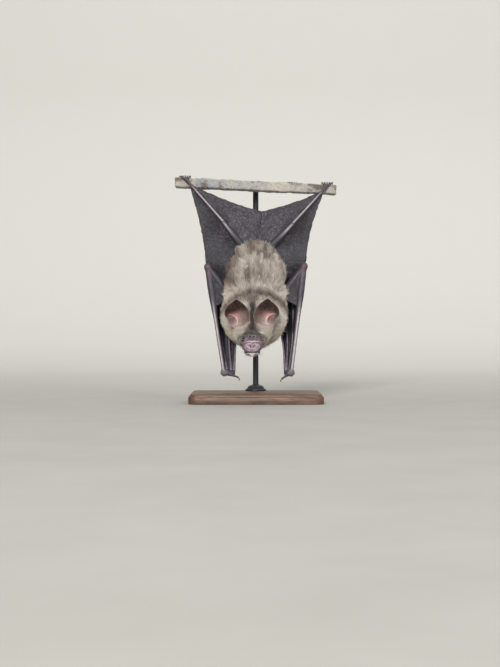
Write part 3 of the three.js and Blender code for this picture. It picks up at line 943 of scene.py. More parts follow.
def muzzle_clay():
    """The naked face on a finer grid: noseleaf, nostrils, lips and eyelids."""
    clay = Clay(*MUZZLE_BLOCK, MUZZLE_CELL)
    press_head(clay)
    press_mouth(clay)
    for side in JOINTS:
        press_eyelids(clay, eye_centre(side))
    press_horseshoe(clay)
    press_rear_leaf(clay)
    clay.roughen(2.4, 0.16, 6)
    clay.roughen(0.9, 0.07, 5)
    return clay


def press_mouth(clay):
    """The upper lip, the slit of the mouth and the split lower lip."""
    lip = [nose_place(a, -4.4 + 0.02 * a * a, 1.9 + 0.07 * a * a) for a in np.linspace(-5.4, 5.4, 9)]
    clay.press(limb(lip, [0.45, 0.62, 0.45]), 0.5)
    for a in (-1, 1):
        clay.press(ball(nose_place(a * 1.35, -6.0, 2.6), 1.25, 1.2, 0.95), 0.4)
        clay.press(ball(nose_place(a * 3.9, -5.6, 3.3), 1.5, 1.2, 0.8), 0.6)
    clay.press(ball(nose_place(0, -7.0, 3.0), 1.5, 0.9, 0.7), 0.4)
    mouth = [
        nose_place(a, -5.05 - 0.3 * math.cos(a * 0.6), 1.6 + 0.085 * a * a)
        for a in np.linspace(-7.2, 7.2, 9)
    ]
    clay.press(limb(mouth, [0.2, 0.26, 0.2], [1.4, 2.0, 1.4], (0, 0, 1), 18), 0.25, True)


def press_eyelids(clay, eye):
    """A hollow round the eye, and lids that wrap its ball and leave an almond open."""
    clay.press(ball(eye + (0, -0.9, 0), 2.3, 1.6, 1.9), 1.2, True)
    clay.press(ball(eye + (0, 0.1, 0), 1.9, 1.72, 1.8), 0.6)
    clay.press(ball(eye, 1.44, 1.44, 1.44), 0.1, True)
    gap = [eye + (a, -1.7, 0.1 - 0.12 * a * a) for a in (-1.15, 0, 1.15)]
    clay.press(limb(gap, [0.9, 1.2, 0.9], [0.12, 0.8, 0.12], count=9), 0.12, True)
    for rise in (1, -1):
        fold = [
            eye + (a, -1.5 + 0.3 * a * a, rise * (1.25 - 0.35 * a * a)) for a in (-1.5, -0.8, 0, 0.8, 1.5)
        ]
        clay.press(limb(fold, [0.16, 0.26, 0.16], count=12), 0.2)


HORSESHOE_FOLDS = (  # direction in degrees and inner end of each
    (200, 3.6), (222, 3.9), (241, 3.3), (258, 3.8), (281, 3.4), (300, 3.9), (321, 3.5), (342, 3.8),
)


def press_horseshoe(clay):
    """The front leaf: a plate with a thin flared edge, leaflets beside it and nostrils in its bowl."""
    for radius_a, radius_b, depth in ((6.7, 4.7, 3.7), (7.4, 5.2, 4.9), (7.9, 5.5, 6.1)):
        for start, end in ((188, 240), (300, 352)):
            fin = arc(radius_a, radius_b, start, end, lambda t: depth, (0, 1.0))
            clay.press(limb(fin, [0.22, 0.3, 0.22], [0.5, 1.0, 0.8, 0.4], count=24), 0.3)
    clay.press(ball(nose_place(0, -0.2, 2.6), 6.4, 2.0, 4.0, belly=2.4, down=3.7), 0.5)
    clay.press(ball(nose_place(0, 0.2, -1.7), 5.0, 3.4, 3.3, belly=3.5, down=3.1), 0.5, True)
    for angle, near in HORSESHOE_FOLDS:
        x, z = math.cos(math.radians(angle)), 0.66 * math.sin(math.radians(angle))
        ends = [nose_place(x * r, z * r - 0.2, c) for r, c in ((near, 1.45), (5.4, 1.0))]
        clay.press(limb(ends, [0.34, 0.2], count=4), 0.45)
    wavy = lambda t: 1.0 - 0.12 * math.sin(t) + 0.14 * math.cos(5 * t)
    edge = arc(6.05, 3.7, 163, 377, wavy, (0, -0.2), 25)
    clay.press(limb(edge, [0.7, 0.95, 1.0, 0.95, 0.7], [0.24, 0.3, 0.34, 0.3, 0.24], count=48), 0.35)
    clay.press(ball(nose_place(0, -4.1, 0.1), 0.4, 0.9, 0.5), 0.3, True)
    for a in (-1, 1):
        clay.press(ball(nose_place(a * 1.55, 0.2, 2.6), 1.35, 1.35, 1.75), 0.6)
        slit = face_path((a * 0.95, -0.95, 1.5), (a * 1.55, 0.1, 1.3), (a * 2.1, 1.25, 1.5))
        clay.press(limb(slit, [1.5, 1.9, 1.3], [0.24, 0.42, 0.22], count=12), 0.2, True)
        flap = face_path((a * 2.75, -1.5, 1.5), (a * 3.1, 0.0, 1.2), (a * 2.8, 1.7, 1.4))
        clay.press(limb(flap, [0.5, 0.8, 0.5], [0.2, 0.27, 0.2], count=12), 0.3)
    wall = face_path((0, -2.1, 1.5), (0, -0.5, 1.15), (0, 1.5, 1.2), (0, 3.4, 1.2))
    clay.press(limb(wall, [0.5, 0.85, 0.75, 0.6], [0.42, 0.27, 0.3, 0.5], count=16), 0.35)


def press_rear_leaf(clay):
    """The middle leaf, a low wavy shelf, and the upright rear leaf with four pockets."""
    shelf = [
        nose_place(a, 4.15 - 0.55 * math.exp(-((a / 0.9) ** 2)) - 0.035 * a * a, 0.8 + 0.03 * a * a)
        for a in np.linspace(-5.5, 5.5, 13)
    ]
    clay.press(limb(shelf, [0.6, 0.95, 1.1, 0.95, 0.6], [0.34, 0.5, 0.44, 0.5, 0.34], count=40), 0.35)
    clay.press(ball(nose_place(0, 5.8, 4.5), 6.7, 2.0, 3.0), 0.7)
    for a in (-4.4, -1.5, 1.5, 4.4):
        clay.press(ball(nose_place(a, 6.4, 2.1), 1.15, 0.85, 1.3), 0.5, True)
    rim = [
        nose_place(a, 8.3 - 0.035 * a * a + 0.45 * abs(math.sin(a * math.pi / 3)), 1.9 + 0.045 * a * a)
        for a in np.linspace(-6.6, 6.6, 23)
    ]
    clay.press(limb(rim, [0.5, 0.75, 0.8, 0.75, 0.5], [0.3, 0.36, 0.34, 0.36, 0.3], count=66), 0.4)
    for a in (-3, 0, 3):
        rib = face_path((a, 4.8, 1.9), (a * 1.01, 6.6, 1.9), (a * 1.02, 8.2, 1.8))
        clay.press(limb(rib, [0.6, 0.5, 0.6], [0.26, 0.24, 0.32], count=8), 0.35)


def face_colour(p):
    """Colours of the bare face, with painted highlights and shade on it, and of the skin under the hair
    round it.
    """
    a, c, b = (p - NOSE).T
    pink = np.array(settings().nose_skin)
    shoe = np.hypot(a / 6.4, (b + 0.2) / 4.1)
    patch = noise(p, 1.5, 8)
    rear = smooth(4.4, 5.2, b) * smooth(10.0, 9.0, b) * smooth(8.2, 7.2, np.abs(a))
    shelf = smooth(1.0, 0.6, np.abs(b - 3.95 + 0.035 * a * a)) * smooth(5.9, 5.0, np.abs(a))
    lip = np.exp(-((a / 3.0) ** 2) - (((b + 5.9) / 1.1) ** 2)) * smooth(4.2, 2.8, c)
    gape = smooth(0.7, 0.3, np.abs(b + 5.05 + 0.3 * np.cos(0.6 * a)))
    gape = gape * smooth(2.2, 2.9, c - 0.085 * a * a)
    fins = smooth(6.0, 7.0, np.abs(a)) * smooth(4, 2, b)
    colour = np.array(linear(104, 90, 95)) + 0 * p
    for share, tone in (
        (0.55 * smooth(1.08, 0.9, shoe) * smooth(3.0, 2.0, c), pink),
        ((0.72 + 0.4 * patch) * smooth(0.98, 0.75, shoe) * smooth(3.2, 2.4, c), pink),
        (smooth(0.7, 0.4, shoe) * smooth(3.2, 2.4, c), pink * 1.15),
        # painted highlight along the front of the horseshoe's flared edge
        (0.5 * np.exp(-(((shoe - 0.94) / 0.1) ** 2)) * smooth(1.3, 0.4, c), linear(192, 174, 181)),
        (0.5 * smooth(0.75, 0.4, shoe) * smooth(0.9, 1.7, c), linear(150, 112, 126)),
        # painted shade deep in the horseshoe's bowl round the nostrils
        (smooth(0.6, 0.45, shoe) * smooth(2.0, 2.7, c), linear(46, 30, 34)),
        (0.9 * rear, linear(88, 76, 80)),
        # painted highlight along the front of the rear leaf's rim
        (0.5 * rear * smooth(1.7, 1.0, c - 0.045 * a * a), linear(150, 136, 142)),
        # painted shade deeper in the rear leaf, in its pockets
        (0.5 * rear * smooth(2.4, 2.9, c - 0.02 * a * a), linear(74, 60, 66)),
        (0.75 * shelf * smooth(1.2, 0.4, c - 0.03 * a * a), linear(208, 194, 198)),
        # painted highlight: the front of the lower lip made near white
        (0.95 * lip, linear(236, 226, 224)),
        # painted shade inside the slit of the mouth
        (0.7 * gape, linear(50, 36, 38)),
        (0.5 * fins, linear(92, 80, 86)),
    ):
        colour = washed(colour, tone, share)
    colour *= (1 + 0.24 * patch + 0.14 * noise(p, 0.6, 9))[:, None]
    for side in JOINTS:
        near = np.linalg.norm(p - eye_centre(side), axis=1)
        colour = washed(colour, linear(48, 37, 36), 0.92 * smooth(3.1, 1.9, near))
    return washed(coat_colour(p) * 0.65, colour, bare_share(p))


def bare_share(p):
    """1 on the naked skin of the muzzle, 0 where the coat begins."""
    a, b = p[:, 0] - NOSE[0], p[:, 2] - NOSE[2]
    oval = np.hypot(a / 10.2, (b - 1.2) / np.where(b > 1.2, 8.0, 8.2))
    return smooth(1.06, 0.92, oval) * smooth(11, 7, p[:, 1] - NOSE[1])


class BAT_OT_head(bpy.types.Operator):
    """Build the head: skull, muzzle, noseleaf, lips and eyelids"""

    bl_idname = "bat.head"
    bl_label = "Head"

    def execute(self, context):
        nodes = ("head", "lower_jaw", "noseleaf_front", "noseleaf_back")
        for name, clay in (("skin_head", head_clay()), ("skin_muzzle", muzzle_clay())):
            points, faces = clay.skin(1)
            piece(name, points, faces, finish_of(make_face), "face_skin", nodes, face_colour(points))
        return {"FINISHED"}


EYE_RADIUS = 1.42


class BAT_OT_eyes(bpy.types.Operator):
    """Build the eyes"""

    bl_idname = "bat.eyes"
    bl_label = "Eyes"

    def execute(self, context):
        rows, around = 18, 28
        polar = np.linspace(0, math.pi, rows)[:, None]
        turn = np.linspace(0, 2 * math.pi, around, endpoint=False)[None]
        shape = np.stack(np.broadcast_arrays(
            np.sin(polar) * np.cos(turn), -np.cos(polar), np.sin(polar) * np.sin(turn)
        ), -1)
        bulge = 1 + 0.06 * smooth(0.75, 0.95, -shape[..., 1:2])
        quads = grid_faces(rows - 2, around, around=True)
        first, top = np.arange(around), np.full(around, (rows - 2) * around)
        after, last = (first + 1) % around, (rows - 3) * around
        caps = [np.stack([top, first, after], 1), np.stack([top + 1, last + after, last + first], 1)]
        faces = np.vstack([quads[:, [0, 1, 2]], quads[:, [0, 2, 3]], *caps])
        for side in JOINTS:
            middle = eye_centre(side)
            points = (middle + shape * bulge * EYE_RADIUS)[1:-1].reshape(-1, 3)
            ends = middle + np.array(((0, -EYE_RADIUS * 1.06, 0), (0, EYE_RADIUS, 0)))
            points = np.vstack([points, ends])
            piece(f"eyeball_{side}", points, faces, finish_of(make_eye), "eye", (f"eye_{side}",))
        return {"FINISHED"}


# ---- ears ---------------------------------------------------------------------------------

EAR_RIM = (  # direction in degrees from straight out, distance, depth of the rim
    (-135, 11.6, -11.5), (-110, 10.6, -8.8), (-85, 9.6, -7.6), (-60, 8.8, -7.0), (-36, 7.6, -6.4),
    (-20, 7.0, -5.4), (-4, 8.8, -7.4), (20, 9.9, -9.4), (48, 10.2, -12.6), (70, 10.6, -15.6),
    (88, 12.6, -17.6), (106, 10.9, -16.4), (132, 9.8, -14.6), (160, 9.8, -13.6), (195, 10.4, -13.0),
)


def ear_rim(angles):
    table = np.array(EAR_RIM)
    degrees = np.degrees(angles)
    turned = (degrees + 135) % 360 - 135
    at = np.concatenate([table[:, 0], [table[0, 0] + 360]])
    wrap = lambda k: np.concatenate([table[:, k], [table[0, k]]])
    return np.interp(turned, at, wrap(1)), np.interp(turned, at, wrap(2))


EAR_ROOT = (1.4, -3.0, 1.8)


def ear_shape(s):
    """How far out and how far up the wall of the cup is, from its root at 0 to its rim at 1."""
    out = np.sin(s * math.pi / 2) ** 0.82
    rise = (1 - np.cos(s * math.pi / 2) ** 0.9) * (0.75 + 0.25 * s)
    return out, rise


def ear_points(joint, rows, around, inset):
    """The inner or outer face of an ear: a deep cup with a pointed tip and a lobe at its foot."""
    turn = np.linspace(0, 2 * math.pi, around, endpoint=False)
    reach, depth = ear_rim(turn)
    blunt = np.abs(np.degrees(turn) - 88) > 7
    for line in (reach, depth) * 3:
        line[blunt] = (0.25 * np.roll(line, 1) + 0.5 * line + 0.25 * np.roll(line, -1))[blunt]
    s = np.linspace(0, 1, rows)[:, None]
    out, rise = ear_shape(s)
    wide = reach - inset * (0.4 + 0.6 * (1 - s))
    m = EAR_ROOT[0] * (1 - out) + np.cos(turn) * wide * out
    n = EAR_ROOT[1] * (1 - out) + np.sin(turn) * wide * out
    y = EAR_ROOT[2] + (depth - EAR_ROOT[2]) * rise - inset * (1 - s)
    # the rim turns a little outwards, and folds run up the inside
    flare = smooth(0.82, 1, s) * 0.5
    m = m + np.cos(turn) * flare
    n = n + np.sin(turn) * flare
    ridges = np.sin(2 * math.pi * (n + 0.25 * m) / 1.5) * smooth(-1, 2, m) * smooth(-2, 1, n)
    ridges = ridges * smooth(0.25, 0.5, s) * smooth(1.0, 0.85, s)
    y = y - 0.22 * ridges
    y = y - 0.9 * ear_fold(m, n) + 1.0 * ear_well(m, n)
    x = joint["ear"][0] + joint["side"] * m
    return np.stack([x, joint["ear"][1] + y, joint["ear"][2] + n], -1), m, n, s + 0 * m


EAR_FOLD = ((7.6, 0.6), (5.2, 1.2), (2.6, 0.0), (0.0, -2.6), (-0.5, -5.4), (1.6, -7.4), (4.4, -6.6))


def ear_fold(m, n):
    """How near a place is to the curled fold in the lower, outer part of the ear."""
    path = spline([(a, b, 0) for a, b in EAR_FOLD], 49)[:, :2]
    height = profile((0.3, 0.6, 0.8, 1.25, 1.1, 0.7, 0.25), 49)
    width = profile((0.4, 0.5, 0.6, 0.95, 0.85, 0.6, 0.45), 49)
    near = np.zeros(m.shape)
    for (a, b), h, w in zip(path, height, width):
        near = np.maximum(near, h * np.exp(-((m - a) ** 2 + (n - b) ** 2) / w**2))
    return near


def ear_well(m, n):
    """How deep a place lies in the opening that the fold curls round."""
    return np.exp(-(((m - 2.7) / 1.5) ** 2) - (((n + 2.7) / 1.6) ** 2))


def ear_hollow(joint):
    """The space inside an ear's cup, down to the middle of its wall."""
    flat = ear_points(joint, 24, 72, 0.0)[0].reshape(-1, 3)
    tree = KDTree(len(flat))
    for i, (x, _, z) in enumerate(flat):
        tree.insert((x, 0, z), i)
    tree.balance()
    rim = int(22 / 24 * len(flat))

    def distance(p):
        depth = np.empty((p.shape[0], p.shape[2]), np.float32)
        for i in range(p.shape[0]):
            for k in range(p.shape[2]):
                _, index, away = tree.find((p[i, 0, k, 0], 0, p[i, 0, k, 2]))
                depth[i, k] = flat[index, 1] - (30 if index >= rim and away > 0.15 else 0)
        return (p[..., 1] - depth[:, None, :]) * 0.7

    return distance, flat.min(0) - (0, 12, 0), flat.max(0)


def ear_colour(m, n, s):
    """Colours of the inside of an ear: a rosy middle, painted shade over the top and outer side, painted
    light low on the inner wall, painted highlights on the rim, the pale fold and the lobe, and a dark red
    opening with painted shade in its hollow.
    """
    mottle = noise(np.stack([m, n, 0 * m], -1), 1.3, 15)
    rosy = np.exp(-(((m - 0.8) / 3.3) ** 2) - (((n - 0.2) / 2.7) ** 2))
    lobe = np.exp(-(((m - 3.6) / 3.2) ** 2)) * smooth(-6.5, -8.5, n) * smooth(0.8, 0.97, s)
    colour = np.array(linear(122, 104, 98)) + 0 * m[..., None]
    for share, tone in (
        # painted shade: the top of the cup, under its forward-leaning tip, made dark
        (0.95 * smooth(0.5, 5.5, n + 0.35 * m), (70, 56, 50)),
        # painted shade: the outer side of the cup made dark
        (0.9 * smooth(4.5, 7.5, m) * smooth(-3, 0, n), (66, 52, 48)),
        (0.95 * rosy, (190, 128, 123)),
        # painted light: the lower inner wall made paler where it faces the light
        (0.7 * smooth(-4, -8, n) * smooth(-6, -2, m), (168, 152, 146)),
        (0.3 * smooth(-0.2, 0.7, mottle), (160, 138, 132)),
        # the fold's pale skin, brightened with a painted highlight
        (0.8 * ear_fold(m, n) * (0.85 + 0.25 * mottle), (222, 200, 196)),
        # the opening's dark red, darker with painted shade in its hollow
        (0.85 * ear_well(m, n), (104, 56, 54)),
        # painted highlight along the rim
        (0.6 * smooth(0.95, 1.0, s), (168, 150, 138)),
        # the lobe's pale skin, brightened with a painted highlight
        (0.7 * lobe, (214, 192, 188)),
    ):
        colour = washed(colour, linear(*tone), share)
    return colour.reshape(-1, 3)


class BAT_OT_ears(bpy.types.Operator):
    """Build the ears, with their ridges, folds and the lobe that guards the opening"""

    bl_idname = "bat.ears"
    bl_label = "Ears"

    def execute(self, context):
        rows, around = 64, 200
        for side, joint in JOINTS.items():
            inner, m, n, s = ear_points(joint, rows, around, 0.5)
            outer = ear_points(joint, rows, around, -0.35)[0]
            points = np.vstack([inner.reshape(-1, 3), outer.reshape(-1, 3)])
            half = rows * around
            tint = np.vstack([ear_colour(m, n, s), np.tile(linear(92, 78, 70), (half, 1))])
            flip = joint["side"] < 0
            rim = np.arange(half - around, half)
            rim = np.stack([rim, np.roll(rim, -1)], 1)
            rim = np.concatenate([rim, rim[:, ::-1] + half], 1)
            faces = np.vstack([
                grid_faces(rows, around, True, 0, not flip),
                grid_faces(rows, around, True, half, flip),
                rim if not flip else rim[:, ::-1],
            ])
            nodes = (f"ear_{side}",)
            ear = piece(f"ear_skin_{side}", points, faces, finish_of(make_face), "ear_skin", nodes, tint)
            close_up(ear)
        return {"FINISHED"}


# ---- limbs --------------------------------------------------------------------------------


def clay_round(points, margin, step):
    p = np.array(points, float)
    return Clay(p.min(0) - margin, p.max(0) + margin, step)


def arm_clay(joint):
    side, shoulder, elbow, wrist, thumb = parts_of(joint, "side shoulder elbow wrist thumb")
    clay = clay_round([shoulder, elbow, wrist, thumb], 5, ARM_CELL)
    clay.press(limb([shoulder, between(shoulder, elbow, 0.5), elbow], [4.7, 3.7, 2.4]), 1)
    bone = [elbow, between(elbow, wrist, 0.22), between(elbow, wrist, 0.6), wrist]
    clay.press(limb(bone, [2.5, 2.9, 1.6, 1.55]), 1.4)
    clay.press(ball(shifted(elbow, side * 0.2, 0.1, 1.0), 2.8, 2.5, 3.1), 1.2)
    ridge = [shifted(between(elbow, wrist, t), side * 0.35, -0.55, 0) for t in (0.3, 0.6, 0.97)]
    clay.press(limb(ridge, [0.9, 1.2, 1.2]), 1.2)
    # wrist and knuckles
    clay.press(ball(wrist, 3.1, 2.1, 2.9, down=2.7), 1)
    for across, rise in ((-1.7, -0.9), (0.3, -1.8), (1.9, -0.4)):
        clay.press(ball(shifted(wrist, side * across, -0.8, rise), 1.3, 1.2, 1.4), 0.6)
    # the folded palm, from the wrist in to the foot of the thumb
    palm = shifted(wrist, -side * joint["palm"] * 0.84, 1.6, -0.4)
    clay.press(limb([wrist, between(wrist, palm, 0.55), palm], [1.9, 1.8, 1.5], [2.7, 2.3, 1.9]), 1.2)
    # thumb, with its pad and the joint before its claw
    knuckle = between(wrist, thumb, 0.68)
    clay.press(limb([between(wrist, thumb, 0.25), knuckle, thumb], [1.5, 0.95, 0.7]), 0.8)
    clay.press(ball(knuckle, 1.15, 1.1, 1.1), 0.4)
    clay.press(ball(shifted(thumb, side * 0.3, 0.2, 0), 0.95, 0.9, 0.95), 0.4)
    clay.roughen(2.2, 0.12, 11)
    return clay


def leg_clay(joint):
    hip, knee, ankle, toes = parts_of(joint, "hip knee ankle toes")
    clay = clay_round([hip, knee, ankle, toes, shifted(toes, joint["side"] * 4, 5, 3)], 4, LEG_CELL)
    clay.press(limb([hip, between(hip, knee, 0.5), knee], [3.8, 2.7, 1.5]), 1)
    clay.press(ball(knee, 1.8, 1.7, 2.0), 1)
    clay.press(limb([knee, between(knee, ankle, 0.45), ankle], [1.4, 1.15, 1.0]), 1)
    clay.press(ball(ankle, 1.4, 1.3, 1.5), 0.8)
    foot = [ankle, between(ankle, toes, 0.55), toes]
    clay.press(limb(foot, [1.25, 1.6, 2.1], [1.2, 1.35, 1.2], (1, 0, 0)), 0.7)
    for path in toe_paths(joint):
        clay.press(limb(path, [0.68, 0.54, 0.44]), 0.15)
        clay.press(ball(path[0], 0.85, 0.8, 0.85), 0.3)
        clay.press(ball(path[1], 0.66, 0.64, 0.66), 0.12)
    clay.roughen(1.4, 0.08, 12)
    return clay


def toe_paths(joint):
    """Five toes that fan out over the top of the perch."""
    out, toes = joint["side"], joint["toes"]
    return [
        [
            shifted(toes, fan * 1.15, 0.2, 0.2),
            shifted(toes, fan * 1.95 + out * 0.4, 2.0, 2.5 - 0.12 * abs(fan)),
            shifted(toes, fan * 2.2 + out * 0.7, 5, 2.6),
        ]
        for fan in range(-2, 3)
    ]


def limb_colour(p, joint, kind):
    """A painted highlight in greyish pink along the front of the forearm and leg bones; rosy at elbow and
    ankle, dark on the foot.
    """
    bone = np.array(settings().bone_highlight)
    rosy = linear(86, 58, 68)
    colour = np.array(linear(52, 48, 57)) + 0 * p
    if kind == "arm":
        a, b = np.array(joint["elbow"]), np.array(joint["wrist"])
        t = share_along(p, a, b)
        from_line = (p[:, 0] - (a[0] + (b[0] - a[0]) * t)) * joint["side"]
        # painted highlight: a pale line along the front of the forearm
        painted_highlight = np.exp(-(((from_line - 0.45) / 0.8) ** 2)) * smooth(0.26, 0.5, t) * smooth(1.0, 0.95, t)
        colour = washed(colour, bone, painted_highlight * smooth(-3.0, -4.6, p[:, 1]))
        colour = washed(colour, rosy, 0.6 * smooth(9, 3, np.linalg.norm((p - a) * (1, 1, 0.7), axis=1)))
        hand = smooth(4.5, 2.5, np.linalg.norm(p - b, axis=1))
        colour = washed(colour, linear(118, 106, 110), 0.5 * hand)
    else:
        hip, a, b = (np.array(place) for place in parts_of(joint, "hip knee ankle"))
        colour *= 0.8
        for start, end, width in ((hip, a, 0.5), (a, b, 0.36)):
            t = share_along(p, start, end)
            from_line = (p[:, 0] - (start[0] + (end[0] - start[0]) * t)) * (end - start)[2]
            from_line /= np.hypot((end - start)[0], (end - start)[2])
            front = start[1] + (end[1] - start[1]) * t
            # painted highlight: a pale line along the front of the thigh and shank
            painted_highlight = np.exp(-((from_line / width) ** 2)) * (t > 0) * smooth(1.02, 0.96, t)
            painted_highlight *= smooth(a[2] - 16, a[2] - 2, p[:, 2]) * smooth(0.2, -0.4, p[:, 1] - front)
            colour = washed(colour, bone * 0.9, 0.8 * painted_highlight)
        colour = washed(colour, rosy, 0.6 * smooth(8, 2.5, np.linalg.norm(p - b, axis=1)))
        colour = washed(colour, linear(56, 49, 53), 0.85 * smooth(b[2] + 1.5, b[2] + 4, p[:, 2]))
    return colour * (1 + 0.12 * noise(p, 1.6, 21))[:, None]


def limb_pieces(kind, make, slot, parts):
    """Both arms or both legs, each a piece that stands for its parts' solids."""
    for side, joint in JOINTS.items():
        points, faces = make(joint).skin()
        nodes = [f"{part}_{side}" for part in parts]
        tint = limb_colour(points, joint, kind)
        piece(f"{kind}_skin_{side}", points, faces, finish_of(make_limb), slot, nodes, tint)


class BAT_OT_arms(bpy.types.Operator):
    """Build the upper arms, forearms, wrists and thumbs"""

    bl_idname = "bat.arms"
    bl_label = "Arms"

    def execute(self, context):
        limb_pieces("arm", arm_clay, "limb_skin", ("upper_arm", "forearm", "hand", "thumb"))
        return {"FINISHED"}


class BAT_OT_legs(bpy.types.Operator):
    """Build the thighs, shanks and feet"""

    bl_idname = "bat.legs"
    bl_label = "Legs and feet"

    def execute(self, context):
        limb_pieces("leg", leg_clay, "foot_skin", ("thigh", "shank", "foot"))
        return {"FINISHED"}


# the claws' curves, as steps inwards, back and up from the tip of the toe or thumb
HIND_HOOK = ((0, -0.3, 0.05), (0, 1.0, 0.25), (0, 2.4, -0.2), (0, 3.3, -1.2), (0, 3.7, -2.3))
THUMB_HOOK = ((0, 0, 0.2), (0.75, 0.2, -0.9), (1.15, 0.9, -1.9), (1.0, 1.8, -2.5), (0.8, 2.4, -2.8))
HIND_WIDE, THUMB_WIDE = (0.5, 0.5, 0.42, 0.28, 0.05), (0.55, 0.55, 0.45, 0.28, 0.05)


def claw(tip, inwards, steps, wide):
    """The path and radii of a claw."""
    hook = [shifted(tip, inwards * across, back, up) for across, back, up in steps]
    return spline(hook, 25), profile(wide, 25)


class BAT_OT_claws(bpy.types.Operator):
    """Build the hooked claws of the feet and thumbs, and the tail"""

    bl_idname = "bat.claws"
    bl_label = "Claws and tail"

    def execute(self, context):
        for side, joint in JOINTS.items():
            hooks = [claw(path[-1], 1, HIND_HOOK, HIND_WIDE) for path in toe_paths(joint)]
            nodes = [f"hind_claw_{side}_{i + 1}" for i in range(5)]
            bars(f"hind_claws_{side}", hooks, finish_of(make_claw), "claw", nodes, 12)
            hooks = [claw(joint["thumb"], -joint["side"], THUMB_HOOK, THUMB_WIDE)]
            nodes = (f"thumb_claw_{side}",)
            bars(f"thumb_claw_hook_{side}", hooks, finish_of(make_claw), "claw", nodes, 12)
        line = [shifted(between(TAIL_ROOT, TAIL_BEND, t), 0, -0.25, 0) for t in (-0.1, 0.3, 0.65, 0.93)]
        line += [shifted(TAIL_BEND, 0.7, 2.2, -0.9), TAIL_TIP]
        tail = rounded(line, [1.1, 0.85, 0.7, 0.7, 0.6, 0.4], 60)
        bone = bars("tail_bone", [tail], finish_of(make_membrane), "membrane", ("tail",), 14)
        paint(bone.data, (1.25, 1.2, 1.2))
        return {"FINISHED"}


# ---- wing and tail skin -------------------------------------------------------------------


def free_edge(start, end, inside, bow, count):
    """An edge that bows in towards a place between its ends."""
    start, end, inside = (np.array(v, float) for v in (start, end, inside))
    middle = (start + end) / 2
    middle = middle + unit(inside - middle) * 2 * bow
    t = np.linspace(0, 1, count)[:, None]
    return (1 - t) ** 2 * start + 2 * t * (1 - t) * middle + t**2 * end


def web(borders, rows, sag, seed, crease=0.22):
    """A grid of places on a skin stretched between borders, with its folds and creases."""
    columns = len(borders[0])
    bands = []
    for k in range(len(borders) - 1):
        s = np.linspace(0, 1, rows + 1)[(1 if k else 0) :, None, None]
        band = borders[k][None] * (1 - s) + borders[k + 1][None] * s
        slack = 4 * s * (1 - s) * np.sin(np.pi * np.linspace(0, 1, columns))[None, :, None] ** 0.5
        band[..., 1:2] += sag * slack
        bands.append(band)
    grid = np.concatenate(bands).transpose(1, 0, 2)
    normal = grid_normals(grid)
    edge = np.linspace(0, 1, grid.shape[1])[None, :]
    ease = smooth(0, 0.08, edge) * smooth(1, 0.95, edge)
    ridge = 1 - 2.2 * np.abs(noise(grid * (1, 1, 0.8), 2.6, seed))
    fine = 1 - 2.2 * np.abs(noise(grid, 1.15, seed + 1))
    broad = noise(grid, 9, seed + 2)
    height = crease * (0.55 * ridge + 0.3 * fine) + 0.45 * broad * ease
    return grid + normal * height[..., None]


def eased(grid, passes):
    """The grid with its bends across the rows made rounder."""
    for _ in range(passes):
        grid[:, 1:-1] = grid[:, 1:-1] * 0.5 + (grid[:, :-2] + grid[:, 2:]) * 0.25
    return grid


def wing_grid(joint):
    side, hip, knee, ankle, elbow = parts_of(joint, "side hip knee ankle elbow")
    count = 141
    flank = [
        shifted(ankle, side * 0.4, 1, -1.2), knee, shifted(hip, side * 2, 0, 2),
        (side * 19, 2, 114), (side * 22, 5, 100), (side * 22, 9, 90),
    ]
    trailing = [
        shifted(ankle, side * 0.9, 1, -2), (side * 46.6, 1, 148 + joint["lift"]), (side * 42.6, 2, 128),
        shifted(elbow, side * 1.2, 3.6, 2.5), (side * 36.6, 9.5, 102.5), (side * 32.6, 14.6, 97),
    ]
    outer = spline(trailing, count)
    outer += (0.35 * noise(outer, 2.4, 31))[:, None] * (1, 0, 0.2)
    return web([spline(flank, count), outer], 64, 2.2, 40 + side)


def tail_grid(joint):
    side, hip, knee, ankle = parts_of(joint, "side hip knee ankle")
    count = 121
    inner = [shifted(ankle, -side * 0.3, 0, -0.6), knee, shifted(hip, -side, 0, 0), TAIL_ROOT]
    edge = free_edge(shifted(ankle, -side * 0.6, 0.4, 0.6), TAIL_BEND, (0, 1, 130), 2.6, count)
    ragged = (0.4 * noise(edge, 2.8, 33) - 0.15)[:, None] * (0, 0.4, 1)
    edge += ragged * smooth(0, 0.1, np.linspace(0, 1, count))[:, None]
    return web([spline(inner, count), edge], 56, 1.6, 50 + side)


def arm_grid(joint):
    elbow, wrist, shoulder = parts_of(joint, "elbow wrist shoulder")
    count = 71
    inner = [elbow, between(elbow, shoulder, 0.5), between(elbow, shoulder, 0.95)]
    inner = [shifted(p, 0, -d, 0) for p, d in zip(inner, (2.2, 3.6, 4.4))]
    outer = [shifted(elbow, 0, -1.6, -2), between(elbow, wrist, 0.2), between(elbow, wrist, 0.38)]
    outer = [shifted(p, 0, -d, 0) for p, d in zip(outer, (0, 2.0, 1.0))]
    return web([spline(inner, count), spline(outer, count)], 44, 0.8, 60 + joint["side"])


HAND_LINES = (  # share of the way out, depth at the foot, depth and height half way, top
    (0, 3.4, 8.4, 50, (13.8, 20, 92)), (0.25, 4.6, 12.4, 51, (17.6, 23, 93)),
    (0.48, 3.9, 10, 52, (21.5, 19.2, 94)), (0.76, 4.4, 12.2, 54, (26.8, 20, 95)),
    (1, 3.5, 8.2, 56, (31.5, 13.1, 96)),
)


def hand_line(joint, line):
    """A finger, or the fold of skin between two, from the wrist up to the knuckles."""
    side, wrist, palm, inner = parts_of(joint, "side wrist palm inner")
    share, foot, depth, height, top = line
    return [
        shifted(wrist, side * (share * 1.6 - (1 - share) * palm), foot, 0.6 + 2.4 * share),
        (inner + (side * 29.6 + 1 - inner) * share, depth, height),
        (side * top[0], top[1], top[2]),
    ]


